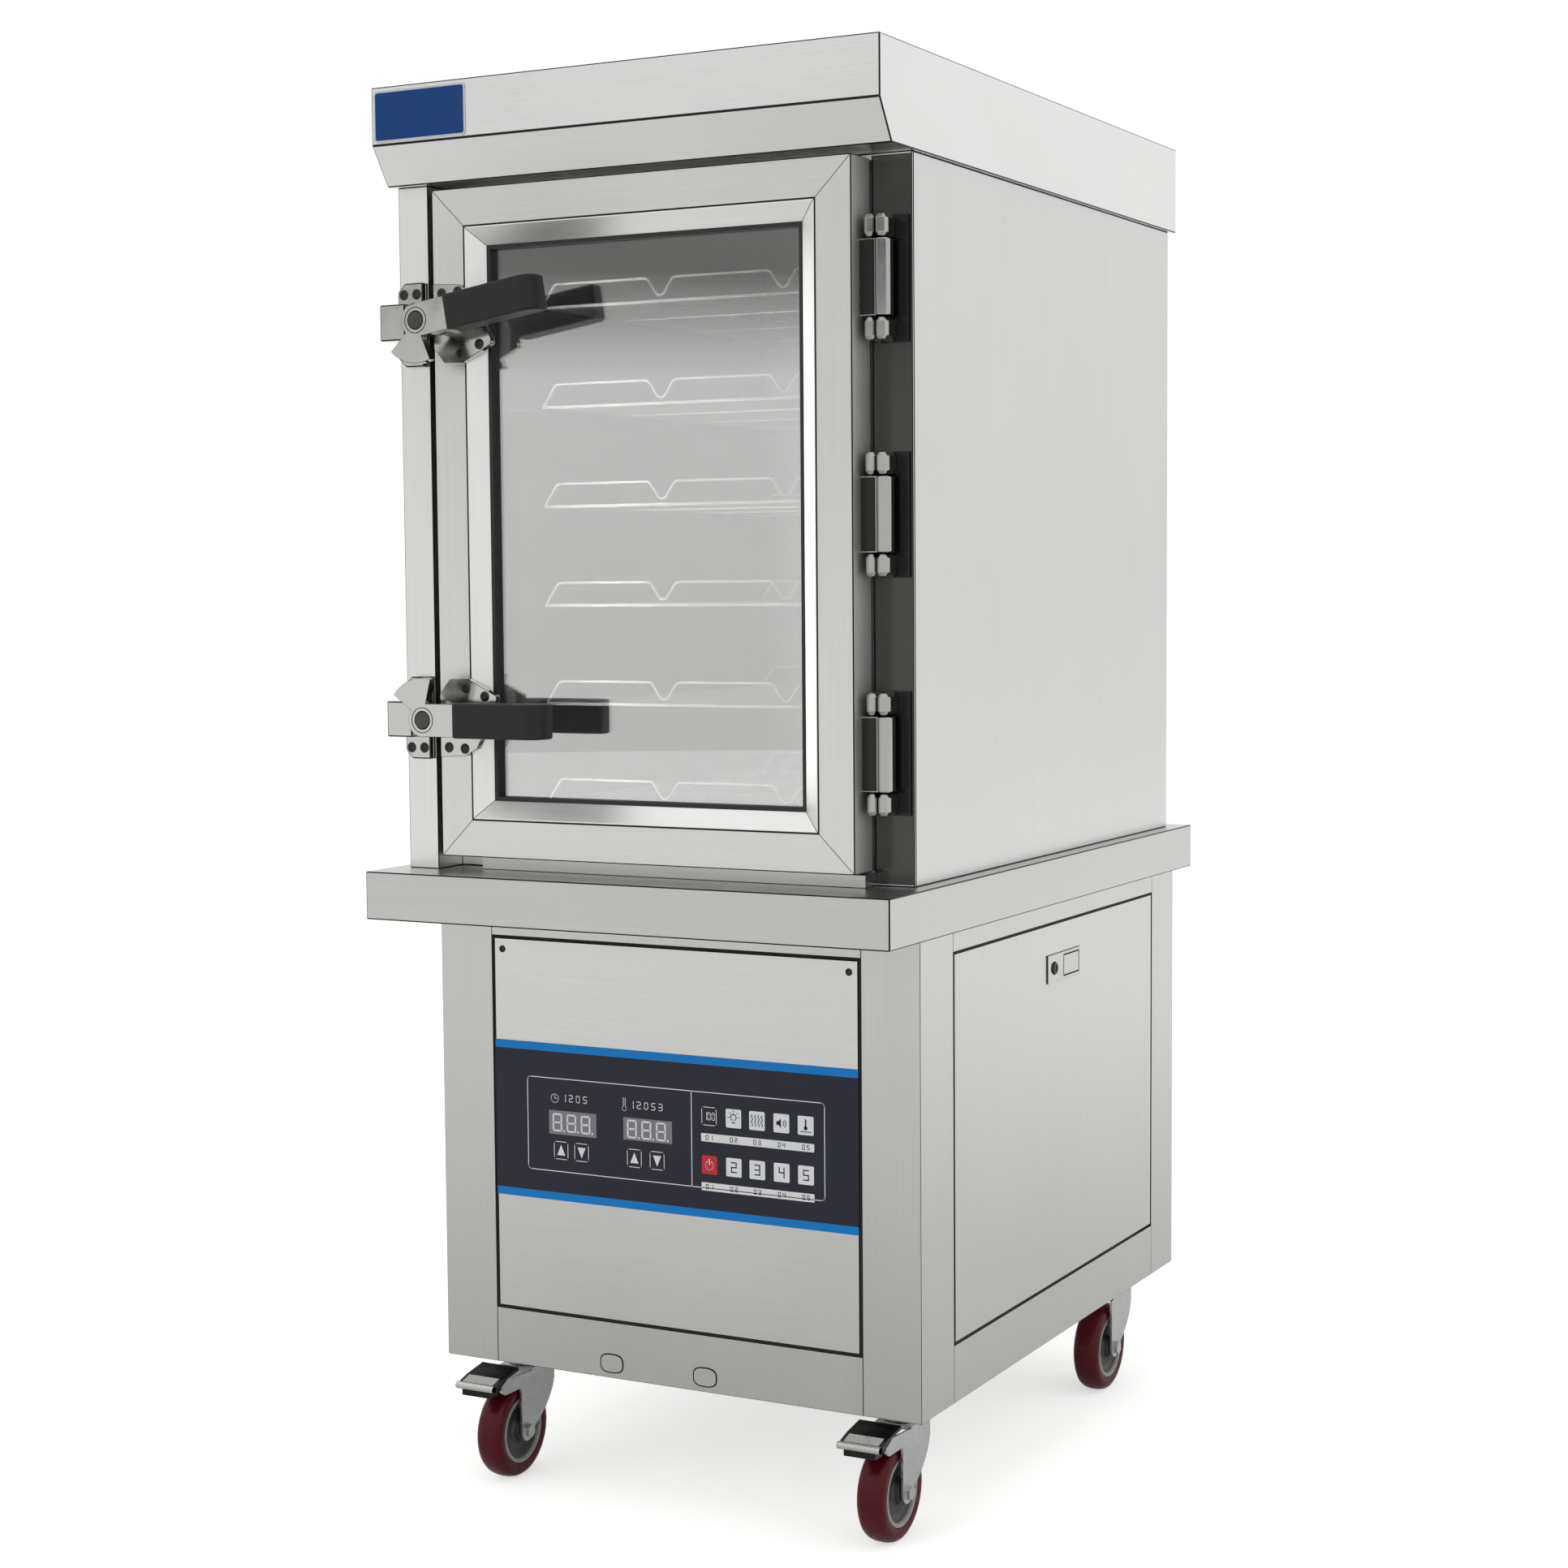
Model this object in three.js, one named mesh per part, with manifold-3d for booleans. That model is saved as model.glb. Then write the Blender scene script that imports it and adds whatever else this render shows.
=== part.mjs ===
// A steaming cabinet on casters: a base with the boiler and the controls, and above it
// an insulated steam chamber with a glazed door, six wire shelves and a canopy.
// Millimetres. +X is the cabinet's right side, -Y its front, +Z up; the floor is z = 0,
// and y = 0 is the front face of the base.
import * as THREE from 'three';
import { mergeVertices } from 'three/addons/utils/BufferGeometryUtils.js';
import Module from 'manifold-3d';

const wasm = await Module();
wasm.setup();

// Clearances and sheet thicknesses
const seatGap = 0.3;
const overrun = 5;
const sheetWall = 3;

// Base
const baseWidth = 600;
const baseDepth = 768;
const baseHeight = 515;
const frameWall = 16;
const frontPostWidth = 69;
const sidePostWidth = 83;
const rearPostWidth = 77;
const bottomRailHeight = 63;
const topRailDrop = 26;
const windowLip = 10;

// Ledge between the base and the steam chamber
const ledgeHeight = 53;
const ledgeSideOverhang = 20;
const ledgeFrontOverhang = 114;
const ledgeRearOverhang = 13;

// Steam chamber
const bodyHeight = 748;
const bodyFrontOverhang = 12;
const bodyRearSetback = 24;
const mouthSideSpace = 58;
const mouthSill = 38;
const mouthHeadroom = 28;
const linerWall = 2.5;
const linerRearSpace = 54;
const postWidth = 39;

// Canopy
const canopyHeight = 103;
const canopySlantHeight = 41;
const canopySlantDepth = 27;
const canopyFrontOverhang = 85;
const canopySideOverhang = 5.5;
const canopyRearOverhang = 13;
const canopySeatWidth = 30;

// Door
const doorThickness = 42;
const gasketThickness = 4;
const doorPostGap = 5;
const doorHingeMargin = 46;
const doorHeadGap = 5;
const stileWidth = 41.5;
const beadWidth = 20.5;
const glassThickness = 4;
const glassSetback = 21;
const innerPaneLap = 12;
const gasketInset = 2;
const gasketWidth = 9;
const beadSlopeDepth = 13;
const beadEdge = 1.5;

// Door hinges, three of them
const hingeHeight = 128;
const hingeKnuckleHeight = 25;
const hingeKnuckleRadius = 13;
const hingeBlockRadius = 14;
const hingePinRadius = 4;
const hingeAxisFromDoor = 18;
const hingeAxisFromBody = 20;
const hingePlateThickness = 3.5;
const hingePlateInset = 3;
const hingeRunningGap = 0.5;
const hingeHeightShares = [0.1676, 0.4952, 0.831];

// Latches, two of them, with the lower one turned upside down
const latchPinInset = 14;
const latchHeightShares = [0.2005, 0.7754];
const latchPlateThickness = 8;
const latchPlateHeight = 91;
const latchPlateWidth = 74;
const mountLead = 8;
const latchBlockHeight = 39;
const latchBlockDepth = 34;
const keeperInset = 3;
const keeperCorner = 9;
const leverSetout = 44;
const leverThickness = 10;
const leverHubRadius = 18.5;
const latchPinRadius = 9.5;
const latchBossRadius = 12.5;
const latchArmLength = 40;
const latchArmHeight = 36;
const wingRadius = 46;
const wingRearAngle = 144;
const wingFrontAngle = 75.6;
const gripLength = 111;
const gripHeight = 38;
const gripDepth = 31;
const gripProud = 4;
const gripEndRadius = 18;
const tangLength = 45;
const tangHeight = 18;
const tangInset = 4;
const upperLatchTilt = 9;

// Wire shelves, six of them, and their runners
const shelfCount = 6;
const shelfSideGap = 5;
const shelfSetback = 142;
const shelfRearGap = 27.5;
const lowestShelfHeight = 25;
const topShelfHeadroom = 89;
const rimWire = 5;
const gridWire = 3;
const gridWireCount = 9;
const crossWireCount = 2;
const weldSink = 0.6;
const rimHumpCount = 3;
const rimHumpRise = 27;
const rimHumpRun = 17;
const runnerWidth = 14;
const runnerHeight = 4;
const runnerSetback = 12;

// Drip trough under the door
const troughDepth = 28;
const troughHeight = 13;
const troughDoorGap = 2;
const troughWall = 1.8;
const troughLeftInset = 85;
const troughRightInset = 43;

// Front panel, controls and labels
const panelGap = 3;
const panelFold = 12;
const controlHeight = 177;
const controlTopDrop = 115;
const controlThickness = 0.6;
const controlBoxWidth = 320;
const controlBoxHeight = 150;
const controlBoxDepth = 46;

// Side access panel and its lock
const lockWidth = 100;
const lockHeight = 33;
const lockTopDrop = 34;
const lockCentreShare = 0.512;
const lockProud = 1.5;
const lockLipWidth = 3;
const lockDepth = 11;
const paddleWidth = 47;
const paddleSideMargin = 4.5;
const paddleThickness = 4;
const paddleEndMargin = 5;
const lockButtonRadius = 7;
const lockButtonShare = 0.2;
const lockButtonProud = 2.5;
const lockButtonTravel = 3;
const lockRunningGap = 0.5;

// Casters, four of them
const wheelDiameter = 110;
const wheelWidth = 34;
const casterHeadHeight = 36;
const casterInsetX = 58;
const casterInsetY = 75;
const casterTrail = 33;
const casterPlateLength = 92;
const casterPlateWidth = 72;
const casterPlateThickness = 3;
const raceRadius = 21;
const crownRadius = 24;
const crownThickness = 5;
const crownClearance = 10;
const kingPinRadius = 6;
const kingPinHeadRadius = 10;
const kingPinHeadHeight = 3;
const forkWall = 3;
const forkSideClearance = 2;
const axleRadius = 5;
const axleHeadRadius = 8;
const cheekFootRadius = 12;
const cheekBendRise = 49;
const cheekCurveRise = 21;
const cheekCurveShare = 0.75;
const axleHeadHeight = 5;
const runningGap = 0.4;
const pedalWidth = 50;
const pedalThickness = 4;
const pedalPivotForward = 44;
const pedalPivotRise = 62;
const pedalPivotRadius = 3.5;
const pedalLugRadius = 9;
const pedalClearance = 1.8;
const pedalReach = 29;
const pedalBarRise = 5;
const bumperDrop = 6;
const pedalBarRadius = 4;
const pedalTailRise = 14;
const pedalTailReach = 22;

// Boiler and its water fittings, inside the base
const tankSideGap = 110;
const tankSetback = 150;
const tankRearGap = 148;
const tankHeight = 190;
const tankHeadGap = 140;
const tankLegSize = 24;
const neckWidth = 120;
const elementRadius = 6;
const elementTipGap = 140;
const elementDrainGap = 1;
const elementSideGap = 26;
const elementHeight = 40;
const elementFlangeRadius = 24;
const elementFlangeThickness = 6;
const pipeRadius = 10;
const pipeBore = 7;
const pipeBoxGap = 10.7;
const inletOffset = -80;
const drainOffset = 39;
const inletHeadGap = 60;
const drainHeight = 20;
const pipeTankReach = 14;
const floatBallRadius = 26;
const floatArmLength = 110;
const floatArmRadius = 3;
const floatPivotRadius = 2.5;
const floatEyeRadius = 7;
const floatEyeWidth = 8;
const floatRestAngle = 35;

// Fineness of round shapes
const wheelSides = 30;
const knuckleSides = 24;
const smallSides = 16;
const pipeSides = 12;
const hexSides = 6;

// Levels and faces that follow from the sizes above
const baseHalf = baseWidth / 2;
const baseFoot = wheelDiameter + casterHeadHeight;
const ledgeFoot = baseFoot + baseHeight;
const ledgeTop = ledgeFoot + ledgeHeight;
const bodyTop = ledgeTop + bodyHeight;
const canopyTop = bodyTop + canopyHeight;
const frameTop = ledgeTop - sheetWall - seatGap;
const bodyFront = -bodyFrontOverhang;
const bodyRear = baseDepth - bodyRearSetback;
const mouthHalf = baseHalf - mouthSideSpace;
const mouthFoot = ledgeTop + mouthSill;
const mouthHead = bodyTop - mouthHeadroom;
const doorBack = bodyFront - gasketThickness;
const doorFront = doorBack - doorThickness;
const doorLeft = -baseHalf + postWidth + doorPostGap;
const doorRight = baseHalf - doorHingeMargin;
const doorFoot = ledgeTop + troughHeight + troughDoorGap;
const doorHead = bodyTop - doorHeadGap;
const windowFoot = baseFoot + bottomRailHeight;
const windowHead = ledgeFoot - topRailDrop;
const linerRear = bodyRear - linerRearSpace;

const finish = {
  steel: { color: 0xc9cac8, roughness: 0.35, metalness: 0.9 },
  chrome: { color: 0xd8d8d8, roughness: 0.15, metalness: 1 },
  zinc: { color: 0xb4b6b6, roughness: 0.4, metalness: 0.9 },
  foam: { color: 0xe8dcae, roughness: 0.9, metalness: 0 },
  rubber: { color: 0x1c1c1c, roughness: 0.8, metalness: 0 },
  grip: { color: 0x242424, roughness: 0.65, metalness: 0 },
  glass: { color: 0xbfc9c6, roughness: 0.05, metalness: 0 },
  film: { color: 0x2c2c3a, roughness: 0.4, metalness: 0 },
  plastic: { color: 0xd9dadb, roughness: 0.5, metalness: 0 },
  tyre: { color: 0x4a1420, roughness: 0.35, metalness: 0 },
  copper: { color: 0xb87a56, roughness: 0.35, metalness: 0.9 },
};

const cabinet = new THREE.Group();

// Turns a closed geometry into a solid that can be joined and cut
function solid(geometry) {
  const bare = geometry.clone();
  bare.deleteAttribute('normal');
  bare.deleteAttribute('uv');
  const merged = mergeVertices(bare);
  const mesh = new wasm.Mesh({
    numProp: 3,
    vertProperties: Float32Array.from(merged.attributes.position.array),
    triVerts: Uint32Array.from(merged.index.array),
  });
  return new wasm.Manifold(mesh);
}

function geometryOf(shape) {
  const mesh = shape.getMesh();
  const geometry = new THREE.BufferGeometry();
  geometry.setAttribute('position', new THREE.BufferAttribute(mesh.vertProperties, mesh.numProp));
  geometry.setIndex(new THREE.BufferAttribute(mesh.triVerts, 1));
  geometry.computeVertexNormals();
  return geometry;
}

function addPiece(name, shape, look, parent = cabinet) {
  const mesh = new THREE.Mesh(geometryOf(shape), new THREE.MeshStandardMaterial(finish[look]));
  mesh.name = name;
  parent.add(mesh);
  return mesh;
}

function join(first, ...others) {
  return others.reduce((whole, part) => whole.add(part), first);
}

function cut(first, ...others) {
  return others.reduce((whole, part) => whole.subtract(part), first);
}

// A box between two corners
function block(x0, x1, y0, y1, z0, z1) {
  const box = new THREE.BoxGeometry(x1 - x0, y1 - y0, z1 - z0);
  box.translate((x0 + x1) / 2, (y0 + y1) / 2, (z0 + z1) / 2);
  return solid(box);
}

const axes = { x: new THREE.Vector3(1, 0, 0), y: new THREE.Vector3(0, 1, 0), z: new THREE.Vector3(0, 0, 1) };

// A round bar along one axis, from one level to another, through a point of the other two
function rod(axis, from, to, a, b, radius, sides = smallSides) {
  const bar = new THREE.CylinderGeometry(radius, radius, to - from, sides);
  const turn = new THREE.Quaternion().setFromUnitVectors(axes.y, axes[axis]);
  bar.applyQuaternion(turn);
  const middle = (from + to) / 2;
  const places = { x: [middle, a, b], y: [a, middle, b], z: [a, b, middle] };
  bar.translate(...places[axis]);
  return solid(bar);
}

function ball(x, y, z, radius, sides = pipeSides) {
  const sphere = new THREE.SphereGeometry(radius, sides, sides);
  sphere.translate(x, y, z);
  return solid(sphere);
}

function outline(points) {
  const shape = new THREE.Shape();
  points.forEach(([a, b], index) => (index === 0 ? shape.moveTo(a, b) : shape.lineTo(a, b)));
  return shape;
}

function extrude(shape, depth, curveSegments = smallSides) {
  return new THREE.ExtrudeGeometry(shape, { depth, bevelEnabled: false, curveSegments });
}

// An outline seen from the front, in X and Z, between two depths
function frontShape(shape, yFront, yBack, curveSegments) {
  const geometry = extrude(shape, yBack - yFront, curveSegments);
  const basis = new THREE.Matrix4().makeBasis(axes.x, axes.z, axes.y.clone().negate());
  geometry.applyMatrix4(basis);
  geometry.translate(0, yBack, 0);
  return solid(geometry);
}

// An outline seen from the right side, in Y and Z, between two X places
function sideShape(shape, xLeft, xRight, curveSegments) {
  const geometry = extrude(shape, xRight - xLeft, curveSegments);
  const basis = new THREE.Matrix4().makeBasis(axes.y, axes.z, axes.x);
  geometry.applyMatrix4(basis);
  geometry.translate(xLeft, 0, 0);
  return solid(geometry);
}

// An outline seen from above, in X and Y, between two heights
function topShape(shape, zLow, zHigh, curveSegments) {
  const geometry = extrude(shape, zHigh - zLow, curveSegments);
  geometry.translate(0, 0, zLow);
  return solid(geometry);
}

function round(values, radius) {
  const [x0, x1, y0, y1] = values;
  const shape = new THREE.Shape();
  shape.moveTo(x0 + radius, y0);
  shape.lineTo(x1 - radius, y0);
  shape.absarc(x1 - radius, y0 + radius, radius, -Math.PI / 2, 0);
  shape.lineTo(x1, y1 - radius);
  shape.absarc(x1 - radius, y1 - radius, radius, 0, Math.PI / 2);
  shape.lineTo(x0 + radius, y1);
  shape.absarc(x0 + radius, y1 - radius, radius, Math.PI / 2, Math.PI);
  shape.lineTo(x0, y0 + radius);
  shape.absarc(x0 + radius, y0 + radius, radius, Math.PI, Math.PI * 1.5);
  return shape;
}

// Levels of the boiler tank and of the pipes that enter it
const tankHalf = baseHalf - tankSideGap;
const tankTop = ledgeFoot - tankHeadGap;
const tankFoot = tankTop - tankHeight;
const tankRear = baseDepth - tankRearGap;
const neckHalf = neckWidth / 2;
const neckMiddle = (tankSetback + tankRear) / 2;
const inletLevel = tankTop - inletHeadGap;
const drainLevel = tankFoot + drainHeight;
const elementLeft = drainOffset + pipeRadius + elementDrainGap + elementFlangeRadius;
const elementRight = tankHalf - elementSideGap;
const elementLevel = tankFoot + elementHeight;
const pipeSetback = sheetWall + seatGap + controlBoxDepth + pipeBoxGap + pipeRadius;

// Welded base frame: four corner posts, rails all round, a floor and corner plates
function makeBaseFrame() {
  const outer = block(-baseHalf, baseHalf, 0, baseDepth, baseFoot, frameTop);
  const innerHalf = baseHalf - frameWall;
  const hollow = block(
    -innerHalf, innerHalf, frameWall, baseDepth - frameWall, baseFoot + sheetWall, frameTop + overrun,
  );
  const postInner = baseHalf - frontPostWidth;
  const rearEdge = baseDepth - rearPostWidth;
  const lipDepth = frameWall - panelFold - seatGap;
  const frontWindow = block(
    -postInner, postInner, -overrun, panelFold + seatGap, windowFoot, windowHead,
  );
  const frontHole = block(
    -postInner + windowLip, postInner - windowLip, 0, frameWall + overrun,
    windowFoot + windowLip, windowHead - windowLip,
  );
  const sideWindow = block(
    innerHalf + lipDepth, baseHalf + overrun, sidePostWidth, rearEdge, windowFoot, windowHead,
  );
  const sideHole = block(
    innerHalf - overrun, baseHalf, sidePostWidth + windowLip, rearEdge - windowLip,
    windowFoot + windowLip, windowHead - windowLip,
  );
  const leftWindow = block(
    -baseHalf - overrun, -innerHalf + overrun, sidePostWidth, rearEdge, windowFoot, windowHead,
  );
  const rearWindow = block(
    -postInner, postInner, baseDepth - frameWall - overrun, baseDepth + overrun, windowFoot, windowHead,
  );
  const pipeHoles = [inletOffset, drainOffset].map((x) => rod(
    'z', baseFoot - overrun, baseFoot + sheetWall + overrun, x, pipeSetback, pipeRadius + seatGap, pipeSides,
  ));
  const windows = [frontWindow, frontHole, sideWindow, sideHole, leftWindow, rearWindow];
  return cut(outer, hollow, ...windows, ...pipeHoles);
}
addPiece('base_frame', makeBaseFrame(), 'steel');

// Fixed sheet behind the left and rear windows of the base
function makeBaseSkin() {
  const skinLeft = -baseHalf + frameWall + seatGap;
  const skinRear = baseDepth - frameWall - seatGap;
  const skinRight = -skinLeft;
  const skinFront = frameWall + seatGap;
  const foot = baseFoot + sheetWall + seatGap;
  const side = block(skinLeft, skinLeft + sheetWall, skinFront, skinRear, foot, ledgeFoot);
  const rear = block(skinLeft, skinRight, skinRear - sheetWall, skinRear, foot, ledgeFoot);
  return join(side, rear);
}
addPiece('base_skin', makeBaseSkin(), 'steel');

// Folded tray: a sheet face with its edges turned back
function foldedTray(face, back, axis) {
  const { a0, a1, z0, z1, front, rear } = face;
  if (axis === 'y') {
    return cut(
      block(a0, a1, front, rear, z0, z1),
      block(
        a0 + sheetWall, a1 - sheetWall, front + sheetWall, rear + back, z0 + sheetWall, z1 - sheetWall,
      ),
    );
  }
  return cut(
    block(rear, front, a0, a1, z0, z1),
    block(
      rear - back, front - sheetWall, a0 + sheetWall, a1 - sheetWall, z0 + sheetWall, z1 - sheetWall,
    ),
  );
}

const panelFoot = windowFoot + panelGap;
const panelHead = windowHead - panelGap;
const panelHalf = baseHalf - frontPostWidth - panelGap;
const frontFace = {
  a0: -panelHalf, a1: panelHalf, z0: panelFoot, z1: panelHead, front: 0, rear: panelFold,
};
addPiece('front_panel', foldedTray(frontFace, overrun, 'y'), 'steel');

const controlTop = panelHead - controlTopDrop;
const controlFoot = controlTop - controlHeight;
addPiece('control_membrane', block(
  -panelHalf, panelHalf, -controlThickness, 0, controlFoot, controlTop,
), 'film');

function makeControlBox() {
  const middle = (controlTop + controlFoot) / 2;
  const half = controlBoxWidth / 2;
  const front = sheetWall + seatGap;
  const rear = front + controlBoxDepth;
  const low = middle - controlBoxHeight / 2;
  const high = middle + controlBoxHeight / 2;
  const shell = block(-half, half, front, rear, low, high);
  const inside = block(
    -half + sheetWall, half - sheetWall, front - overrun, rear - sheetWall, low + sheetWall, high - sheetWall,
  );
  return cut(shell, inside);
}
addPiece('control_box', makeControlBox(), 'plastic');

// The square way that a sheet leaves for the neck of the boiler
function neckHole(low, high) {
  const half = neckHalf + seatGap;
  return block(-half, half, neckMiddle - half, neckMiddle + half, low, high);
}

// Ledge: a folded tray that hangs over the base and carries the steam chamber
function makeLedge() {
  const half = baseHalf + ledgeSideOverhang;
  const front = -ledgeFrontOverhang;
  const rear = baseDepth + ledgeRearOverhang;
  const outer = block(-half, half, front, rear, ledgeFoot, ledgeTop);
  const inside = block(
    -half + sheetWall, half - sheetWall, front + sheetWall, rear - sheetWall,
    ledgeFoot + sheetWall, ledgeTop - sheetWall,
  );
  const baseHole = block(
    -baseHalf - seatGap, baseHalf + seatGap, -seatGap, baseDepth + seatGap,
    ledgeFoot - overrun, ledgeFoot + sheetWall + overrun,
  );
  return cut(outer, inside, baseHole, neckHole(ledgeTop - sheetWall - overrun, ledgeTop + overrun));
}
addPiece('ledge_tray', makeLedge(), 'steel');

// Front frame round the chamber mouth, with the raised post that takes the latch keepers
function makeSurround() {
  const plate = block(-baseHalf, baseHalf, bodyFront, bodyFront + sheetWall, ledgeTop, bodyTop);
  const postRight = -baseHalf + postWidth;
  const post = block(-baseHalf, postRight, doorFront, bodyFront + sheetWall, ledgeTop, bodyTop);
  const postInside = block(
    -baseHalf + sheetWall, postRight - sheetWall, doorFront + sheetWall,
    bodyFront + sheetWall + overrun, ledgeTop + sheetWall, bodyTop - sheetWall,
  );
  const mouth = block(
    -mouthHalf, mouthHalf, bodyFront - overrun, bodyFront + sheetWall + overrun, mouthFoot, mouthHead,
  );
  return cut(join(plate, post), postInside, mouth);
}
addPiece('door_surround', makeSurround(), 'steel');

// Outer casing of the chamber: two sides, a rear and a top
const shellFront = bodyFront + sheetWall + seatGap;
function makeCasing() {
  const outer = block(-baseHalf, baseHalf, shellFront, bodyRear, ledgeTop, bodyTop);
  const inside = block(
    -baseHalf + sheetWall, baseHalf - sheetWall, shellFront - overrun, bodyRear - sheetWall,
    ledgeTop - overrun, bodyTop - sheetWall,
  );
  return cut(outer, inside);
}
addPiece('body_casing', makeCasing(), 'steel');

const linerHalf = mouthHalf + linerWall;
const shelfFront = bodyFront + shelfSetback;
const shelfRear = linerRear - linerWall - shelfRearGap;
const shelfHalf = mouthHalf - shelfSideGap;
const lowestShelf = mouthFoot + lowestShelfHeight;
const shelfPitch = (mouthHead - topShelfHeadroom - lowestShelf) / (shelfCount - 1);
const shelfLevel = (index) => lowestShelf + index * shelfPitch;

// Inner box of the chamber, with a pair of welded runners for each shelf
function makeLiner() {
  const foot = mouthFoot - linerWall;
  const outer = block(-linerHalf, linerHalf, shellFront, linerRear, foot, mouthHead + linerWall);
  const inside = block(
    -mouthHalf, mouthHalf, shellFront - overrun, linerRear - linerWall, mouthFoot, mouthHead,
  );
  let liner = cut(outer, inside, neckHole(foot - overrun, mouthFoot + overrun));
  const runnerFront = shellFront + runnerSetback;
  for (let index = 0; index < shelfCount; index += 1) {
    const top = shelfLevel(index) - rimWire / 2 - seatGap;
    for (const side of [-1, 1]) {
      const outerEdge = side * (mouthHalf + linerWall / 2);
      const innerEdge = side * (mouthHalf - runnerWidth);
      const low = Math.min(outerEdge, innerEdge);
      const high = Math.max(outerEdge, innerEdge);
      const rear = linerRear - linerWall / 2;
      liner = liner.add(block(low, high, runnerFront, rear, top - runnerHeight, top));
    }
  }
  return liner;
}
addPiece('chamber_liner', makeLiner(), 'steel');

// Foam that fills the space between the liner and the casing
function makeInsulation() {
  const half = baseHalf - sheetWall - seatGap;
  const outer = block(
    -half, half, shellFront, bodyRear - sheetWall - seatGap,
    ledgeTop + seatGap, bodyTop - sheetWall - seatGap,
  );
  const room = linerHalf + seatGap;
  const inside = block(
    -room, room, shellFront - overrun, linerRear + seatGap,
    mouthFoot - linerWall - seatGap, mouthHead + linerWall + seatGap,
  );
  return cut(outer, inside, neckHole(ledgeTop - overrun, mouthFoot));
}
addPiece('insulation_jacket', makeInsulation(), 'foam');

// Canopy: a folded hood whose front edge slopes back to the door
function makeCanopy() {
  const half = baseHalf + canopySideOverhang;
  const front = bodyFront - canopyFrontOverhang;
  const rear = bodyRear + canopyRearOverhang;
  const bend = bodyTop + canopySlantHeight;
  const profile = (inset) => outline([
    [front + canopySlantDepth + inset, bodyTop + inset],
    [rear - inset, bodyTop + inset],
    [rear - inset, canopyTop - inset],
    [front + inset, canopyTop - inset],
    [front + inset, bend],
  ]);
  const outer = sideShape(profile(0), -half, half);
  const inside = sideShape(profile(sheetWall), -half + sheetWall, half - sheetWall);
  const holeHalf = baseHalf - canopySeatWidth;
  const hole = block(
    -holeHalf, holeHalf, bodyFront + canopySeatWidth, bodyRear - canopySeatWidth,
    bodyTop - overrun, bodyTop + sheetWall + overrun,
  );
  return cut(outer, inside, hole);
}
addPiece('canopy_shell', makeCanopy(), 'steel');

// Open trough below the door that catches what drips off the glass
function makeTrough() {
  const left = -baseHalf + troughLeftInset;
  const right = baseHalf - troughRightInset;
  const rear = bodyFront - seatGap;
  const front = rear - troughDepth;
  const foot = ledgeTop + seatGap;
  const outer = block(left, right, front, rear, foot, foot + troughHeight);
  const inside = block(
    left + troughWall, right - troughWall, front + troughWall, rear - troughWall,
    foot + troughWall, foot + troughHeight + overrun,
  );
  return cut(outer, inside);
}
addPiece('drip_trough', makeTrough(), 'steel');

// Boiler tank on four legs, with a neck that carries the steam up into the chamber
function makeTank() {
  const shell = block(-tankHalf, tankHalf, tankSetback, tankRear, tankFoot, tankTop);
  const neckFront = neckMiddle - neckHalf;
  const neckRear = neckMiddle + neckHalf;
  const neckTop = mouthFoot - linerWall / 2;
  const neck = block(-neckHalf, neckHalf, neckFront, neckRear, tankTop - sheetWall, neckTop);
  const inside = block(
    -tankHalf + sheetWall, tankHalf - sheetWall, tankSetback + sheetWall, tankRear - sheetWall,
    tankFoot + sheetWall, tankTop - sheetWall,
  );
  const flue = block(
    -neckHalf + sheetWall, neckHalf - sheetWall, neckFront + sheetWall, neckRear - sheetWall,
    tankTop - sheetWall - overrun, mouthFoot + overrun,
  );
  let tank = join(shell, neck);
  const legFoot = baseFoot + sheetWall + seatGap;
  const legTop = tankFoot + sheetWall / 2;
  for (const x of [-tankHalf, tankHalf - tankLegSize]) {
    for (const y of [tankSetback, tankRear - tankLegSize]) {
      tank = tank.add(block(x, x + tankLegSize, y, y + tankLegSize, legFoot, legTop));
    }
  }
  const frontHole = (x, z, radius) => rod(
    'y', tankSetback - overrun, tankSetback + sheetWall + overrun, x, z, radius + seatGap, pipeSides,
  );
  return cut(
    tank, inside, flue,
    frontHole(elementLeft, elementLevel, elementRadius),
    frontHole(elementRight, elementLevel, elementRadius),
    frontHole(inletOffset, inletLevel, pipeRadius),
    frontHole(drainOffset, drainLevel, pipeRadius),
  );
}
addPiece('boiler_tank', makeTank(), 'steel');

// Heating element: a bent tube that enters the tank through a flange
function makeElement() {
  const flangeBack = tankSetback - seatGap;
  const flangeFront = flangeBack - elementFlangeThickness;
  const far = tankRear - elementTipGap;
  const flange = block(
    elementLeft - elementFlangeRadius, elementRight + elementFlangeRadius, flangeFront, flangeBack,
    elementLevel - elementFlangeRadius, elementLevel + elementFlangeRadius,
  );
  const near = flangeFront - elementFlangeRadius;
  return join(
    flange,
    rod('y', near, far, elementLeft, elementLevel, elementRadius, pipeSides),
    rod('y', near, far, elementRight, elementLevel, elementRadius, pipeSides),
    rod('x', elementLeft, elementRight, far, elementLevel, elementRadius, pipeSides),
    ball(elementLeft, far, elementLevel, elementRadius),
    ball(elementRight, far, elementLevel, elementRadius),
  );
}
addPiece('heating_element', makeElement(), 'copper');

function elbowPipe(x, foot, height, end, radius) {
  return join(
    rod('z', foot, height, x, pipeSetback, radius, pipeSides),
    ball(x, pipeSetback, height, radius),
    rod('y', pipeSetback, end, x, height, radius, pipeSides),
  );
}

function makePipe(x, height) {
  const foot = baseFoot + sheetWall / 2;
  const end = tankSetback + sheetWall + pipeTankReach;
  return cut(
    elbowPipe(x, foot, height, end, pipeRadius),
    elbowPipe(x, foot - overrun, height, end + overrun, pipeBore),
  );
}

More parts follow.
